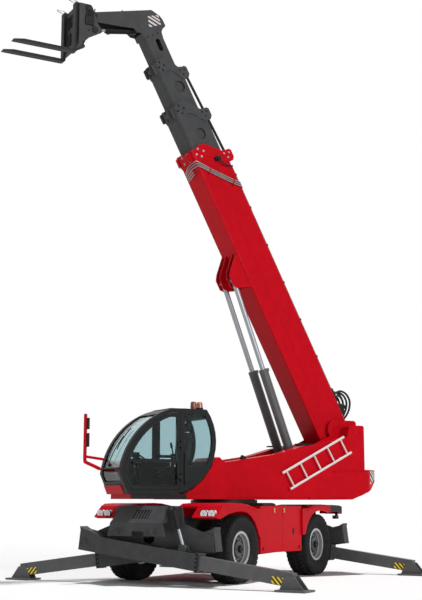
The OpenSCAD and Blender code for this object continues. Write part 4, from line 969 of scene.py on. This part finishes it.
# rings at both ends of the legs' cylinders
for name in CORNERS:
    a = Vector(joints["leg_cylinder_swing_" + name]["pos_m"])
    d = Vector(joints["leg_cylinder_stroke_" + name]["axis"]).normalized()
    ends = Piece("leg_gland_" + name, BLACK, "leg_cylinder_" + name, "black_paint")
    box_lo, box_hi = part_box("leg_barrel_" + name)
    far = min((a.z - box_lo[2]) / max(0.2, -d.z), 2.0)
    r = 0.5 * (box_hi[0] - box_lo[0])
    ends.hoop(a + d * (far - 0.075), a + d * (far - 0.030), r * 0.95, r * 1.03, 28)
    ends.hoop(a + d * 0.12, a + d * 0.15, r * 0.95, r * 1.02, 28)
    ends.done(0.001)

# ---- head ----
HINGE = (Matrix.Translation(Vector(joints["carriage_tilt"]["pos_m"]))
         @ Matrix.Rotation(SLEW, 4, "Z"))
TILT = (Matrix.Translation(Vector(joints["tilt_swing"]["pos_m"])) @ Matrix.Rotation(SLEW, 4, "Z")
        @ Matrix.Rotation(math.atan2(0.169, 0.886), 4, "Y"))
PLATE_SIDE, BLOCK_SIDE = 0.42, 0.435
caps = Piece("hinge_caps", BLACK, "fork_carriage", "black_paint", HINGE)
for side in SIDES:
    out, plate, block, y = (0, side, 0), side * PLATE_SIDE, side * BLOCK_SIDE, side * 0.440
    caps.bar((0, side * 0.212, 0), (0, side * 0.226, 0), 0.058, 28)
    caps.bolts([(0.035 * math.cos(t), side * 0.224, 0.035 * math.sin(t)) for t in (0.4, 2.5, 4.6)],
               out, 0.008, 0.008)
    caps.bolts([(0.19, plate, z) for z in (0.02, -0.10, -0.40)], out, 0.012, 0.010)
    caps.box((0.10, block - 0.016, -0.30), (0.27, block + 0.016, -0.14))
    caps.bar((0.075, plate, -0.37), (0.075, side * 0.438, -0.37), 0.060, 24)
    caps.bar((0.21, plate, 0.03), (0.21, side * 0.436, 0.03), 0.058, 24)
    for k in range(4):
        x = 0.12 + 0.042 * k
        caps.bar((x, y, -0.14), (x, y, -0.10), 0.014, 10)
        caps.tube([(x, y, -0.11), (x - 0.01, side * 0.446, -0.05), (x - 0.03, y, 0.0),
                   (x - 0.04, side * 0.425, 0.03)], 0.011)
caps.done(0.001)
LOCK_LOOP = [(0.355, -0.030, 0.142), (0.440, -0.045, 0.165), (0.520, -0.030, 0.180),
             (0.540, 0, 0.183), (0.520, 0.030, 0.180), (0.440, 0.045, 0.165),
             (0.355, 0.030, 0.142)]
locks = Piece("fork_locks", STEEL, "fork_carriage", "silver_paint", HINGE)
for side in SIDES:
    y = side * 0.28
    locks.box((0.318, y - 0.035, 0.128), (0.372, y + 0.035, 0.146))
    locks.tube([(x, y + dy, z) for x, dy, z in LOCK_LOOP], 0.008)
locks.done(0.002)
ends = Piece("tilt_gland", BLACK, "tilt_cylinder", "black_paint", TILT)
ends.hoop((0.612, 0, 0), (0.663, 0, 0), 0.048, 0.056, 28)
ends.hoop((0.060, 0, 0), (0.095, 0, 0), 0.048, 0.0540, 28)
for x in (0.10, 0.58):
    ends.box((x, -0.022, -0.075), (x + 0.06, 0.022, -0.045))
ends.tube([(0.13, 0, -0.066), (0.20, 0, -0.060), (0.40, 0, -0.060), (0.55, 0, -0.060),
           (0.61, 0, -0.064)], 0.009)
ends.done(0.001)
nose = Piece("gooseneck_fittings", BLACK, "boom_4", "black_paint", ALONG)
nose.box((8.53, -0.06, 0.349), (8.60, 0.06, 0.382))
for side in (1, -1):
    nose.tube([(8.30, side * 0.12, 0.210), (8.42, side * 0.12, 0.235), (8.50, side * 0.10, 0.345),
               (8.55, side * 0.05, 0.372)], 0.013)
for side in SIDES:
    nose.bolts([(8.40, side * NECK_SIDE, z) for z in (-0.12, 0.0, 0.12)], (0, side, 0),
               0.013, 0.010)
nose.done(0.002)
eye = Piece("gooseneck_eye", STEEL, "boom_4", "silver_paint", ALONG)
for y in (-0.06, 0.06):
    eye.bar((8.985, y, -0.352), (9.045, y, -0.338), 0.014, 12)
eye.bar((9.035, -0.075, -0.340), (9.035, 0.075, -0.340), 0.014, 12)
eye.box((8.975, -0.09, -0.395), (8.995, 0.09, -0.305))
eye.done(0.002)

# ---- softened edges of the CAD pieces ----
NODE_EDGE = {"boom_base": 0.006, "boom_mid_1": 0.004, "boom_mid_2": 0.004, "boom_head": 0.005,
             "carriage": 0.003, "turret_frame": 0.006, "counterweight": 0.012,
             "side_covers": 0.010, "mudguards": 0.004}
for name, width in NODE_EDGE.items():
    ease_edges(nodes[name], width, NODE_EDGE_ANGLE)

# ---- stage and light ----
FLOOR_SIZE, FLOOR_Z = 90, -0.004
SKY_ON_OBJECT, SKY_SEEN = 0.17, 1.0
floor_paint = paint("pale_floor", (0.89, 0.89, 0.89), 0.9, grain=0.005, scale=0.4, spec=0.0)
bm = bmesh.new()
bmesh.ops.create_grid(bm, x_segments=1, y_segments=1, size=FLOOR_SIZE,
                      matrix=Matrix.Translation((0, 0, FLOOR_Z)))
o = mesh_object("floor", bm, floor_paint)

# a white surround for the eye, for glass and for reflections, and a modest light on the object
world = bpy.data.worlds.new("studio")
scene.world = world
world.use_nodes = True
sky = world.node_tree
path = sky.nodes.new("ShaderNodeLightPath")


def either(a, b):
    """A node that is 1 where one of two outputs is."""
    node = sky.nodes.new("ShaderNodeMath")
    node.operation = "MAXIMUM"
    sky.links.new(a, node.inputs[0])
    sky.links.new(b, node.inputs[1])
    return node.outputs["Value"]


seen = either(path.outputs["Is Camera Ray"], path.outputs["Is Transmission Ray"])
mirrored = either(seen, path.outputs["Is Glossy Ray"])
level = sky.nodes.new("ShaderNodeMapRange")
level.inputs["To Min"].default_value = SKY_ON_OBJECT
level.inputs["To Max"].default_value = SKY_SEEN
sky.links.new(mirrored, level.inputs["Value"])
sky.nodes["Background"].inputs["Color"].default_value = (1.0, 1.0, 1.0, 1)
sky.links.new(level.outputs["Result"], sky.nodes["Background"].inputs["Strength"])


def soft_light(name, source, strength, spread):
    """Even light from one direction, as from a large far softbox."""
    lamp = bpy.data.lights.new(name, "SUN")
    lamp.energy = strength
    lamp.angle = math.radians(spread)
    o = bpy.data.objects.new(name, lamp)
    scene.collection.objects.link(o)
    o.rotation_mode = "QUATERNION"
    o.rotation_quaternion = (-Vector(source)).to_track_quat("-Z", "Y")


soft_light("key", (0.42, 0.85, 0.20), 1.55, 24)
soft_light("overhead", (-0.06, 0.10, 1.0), 2.7, 4)

scene.view_settings.view_transform = "Standard"
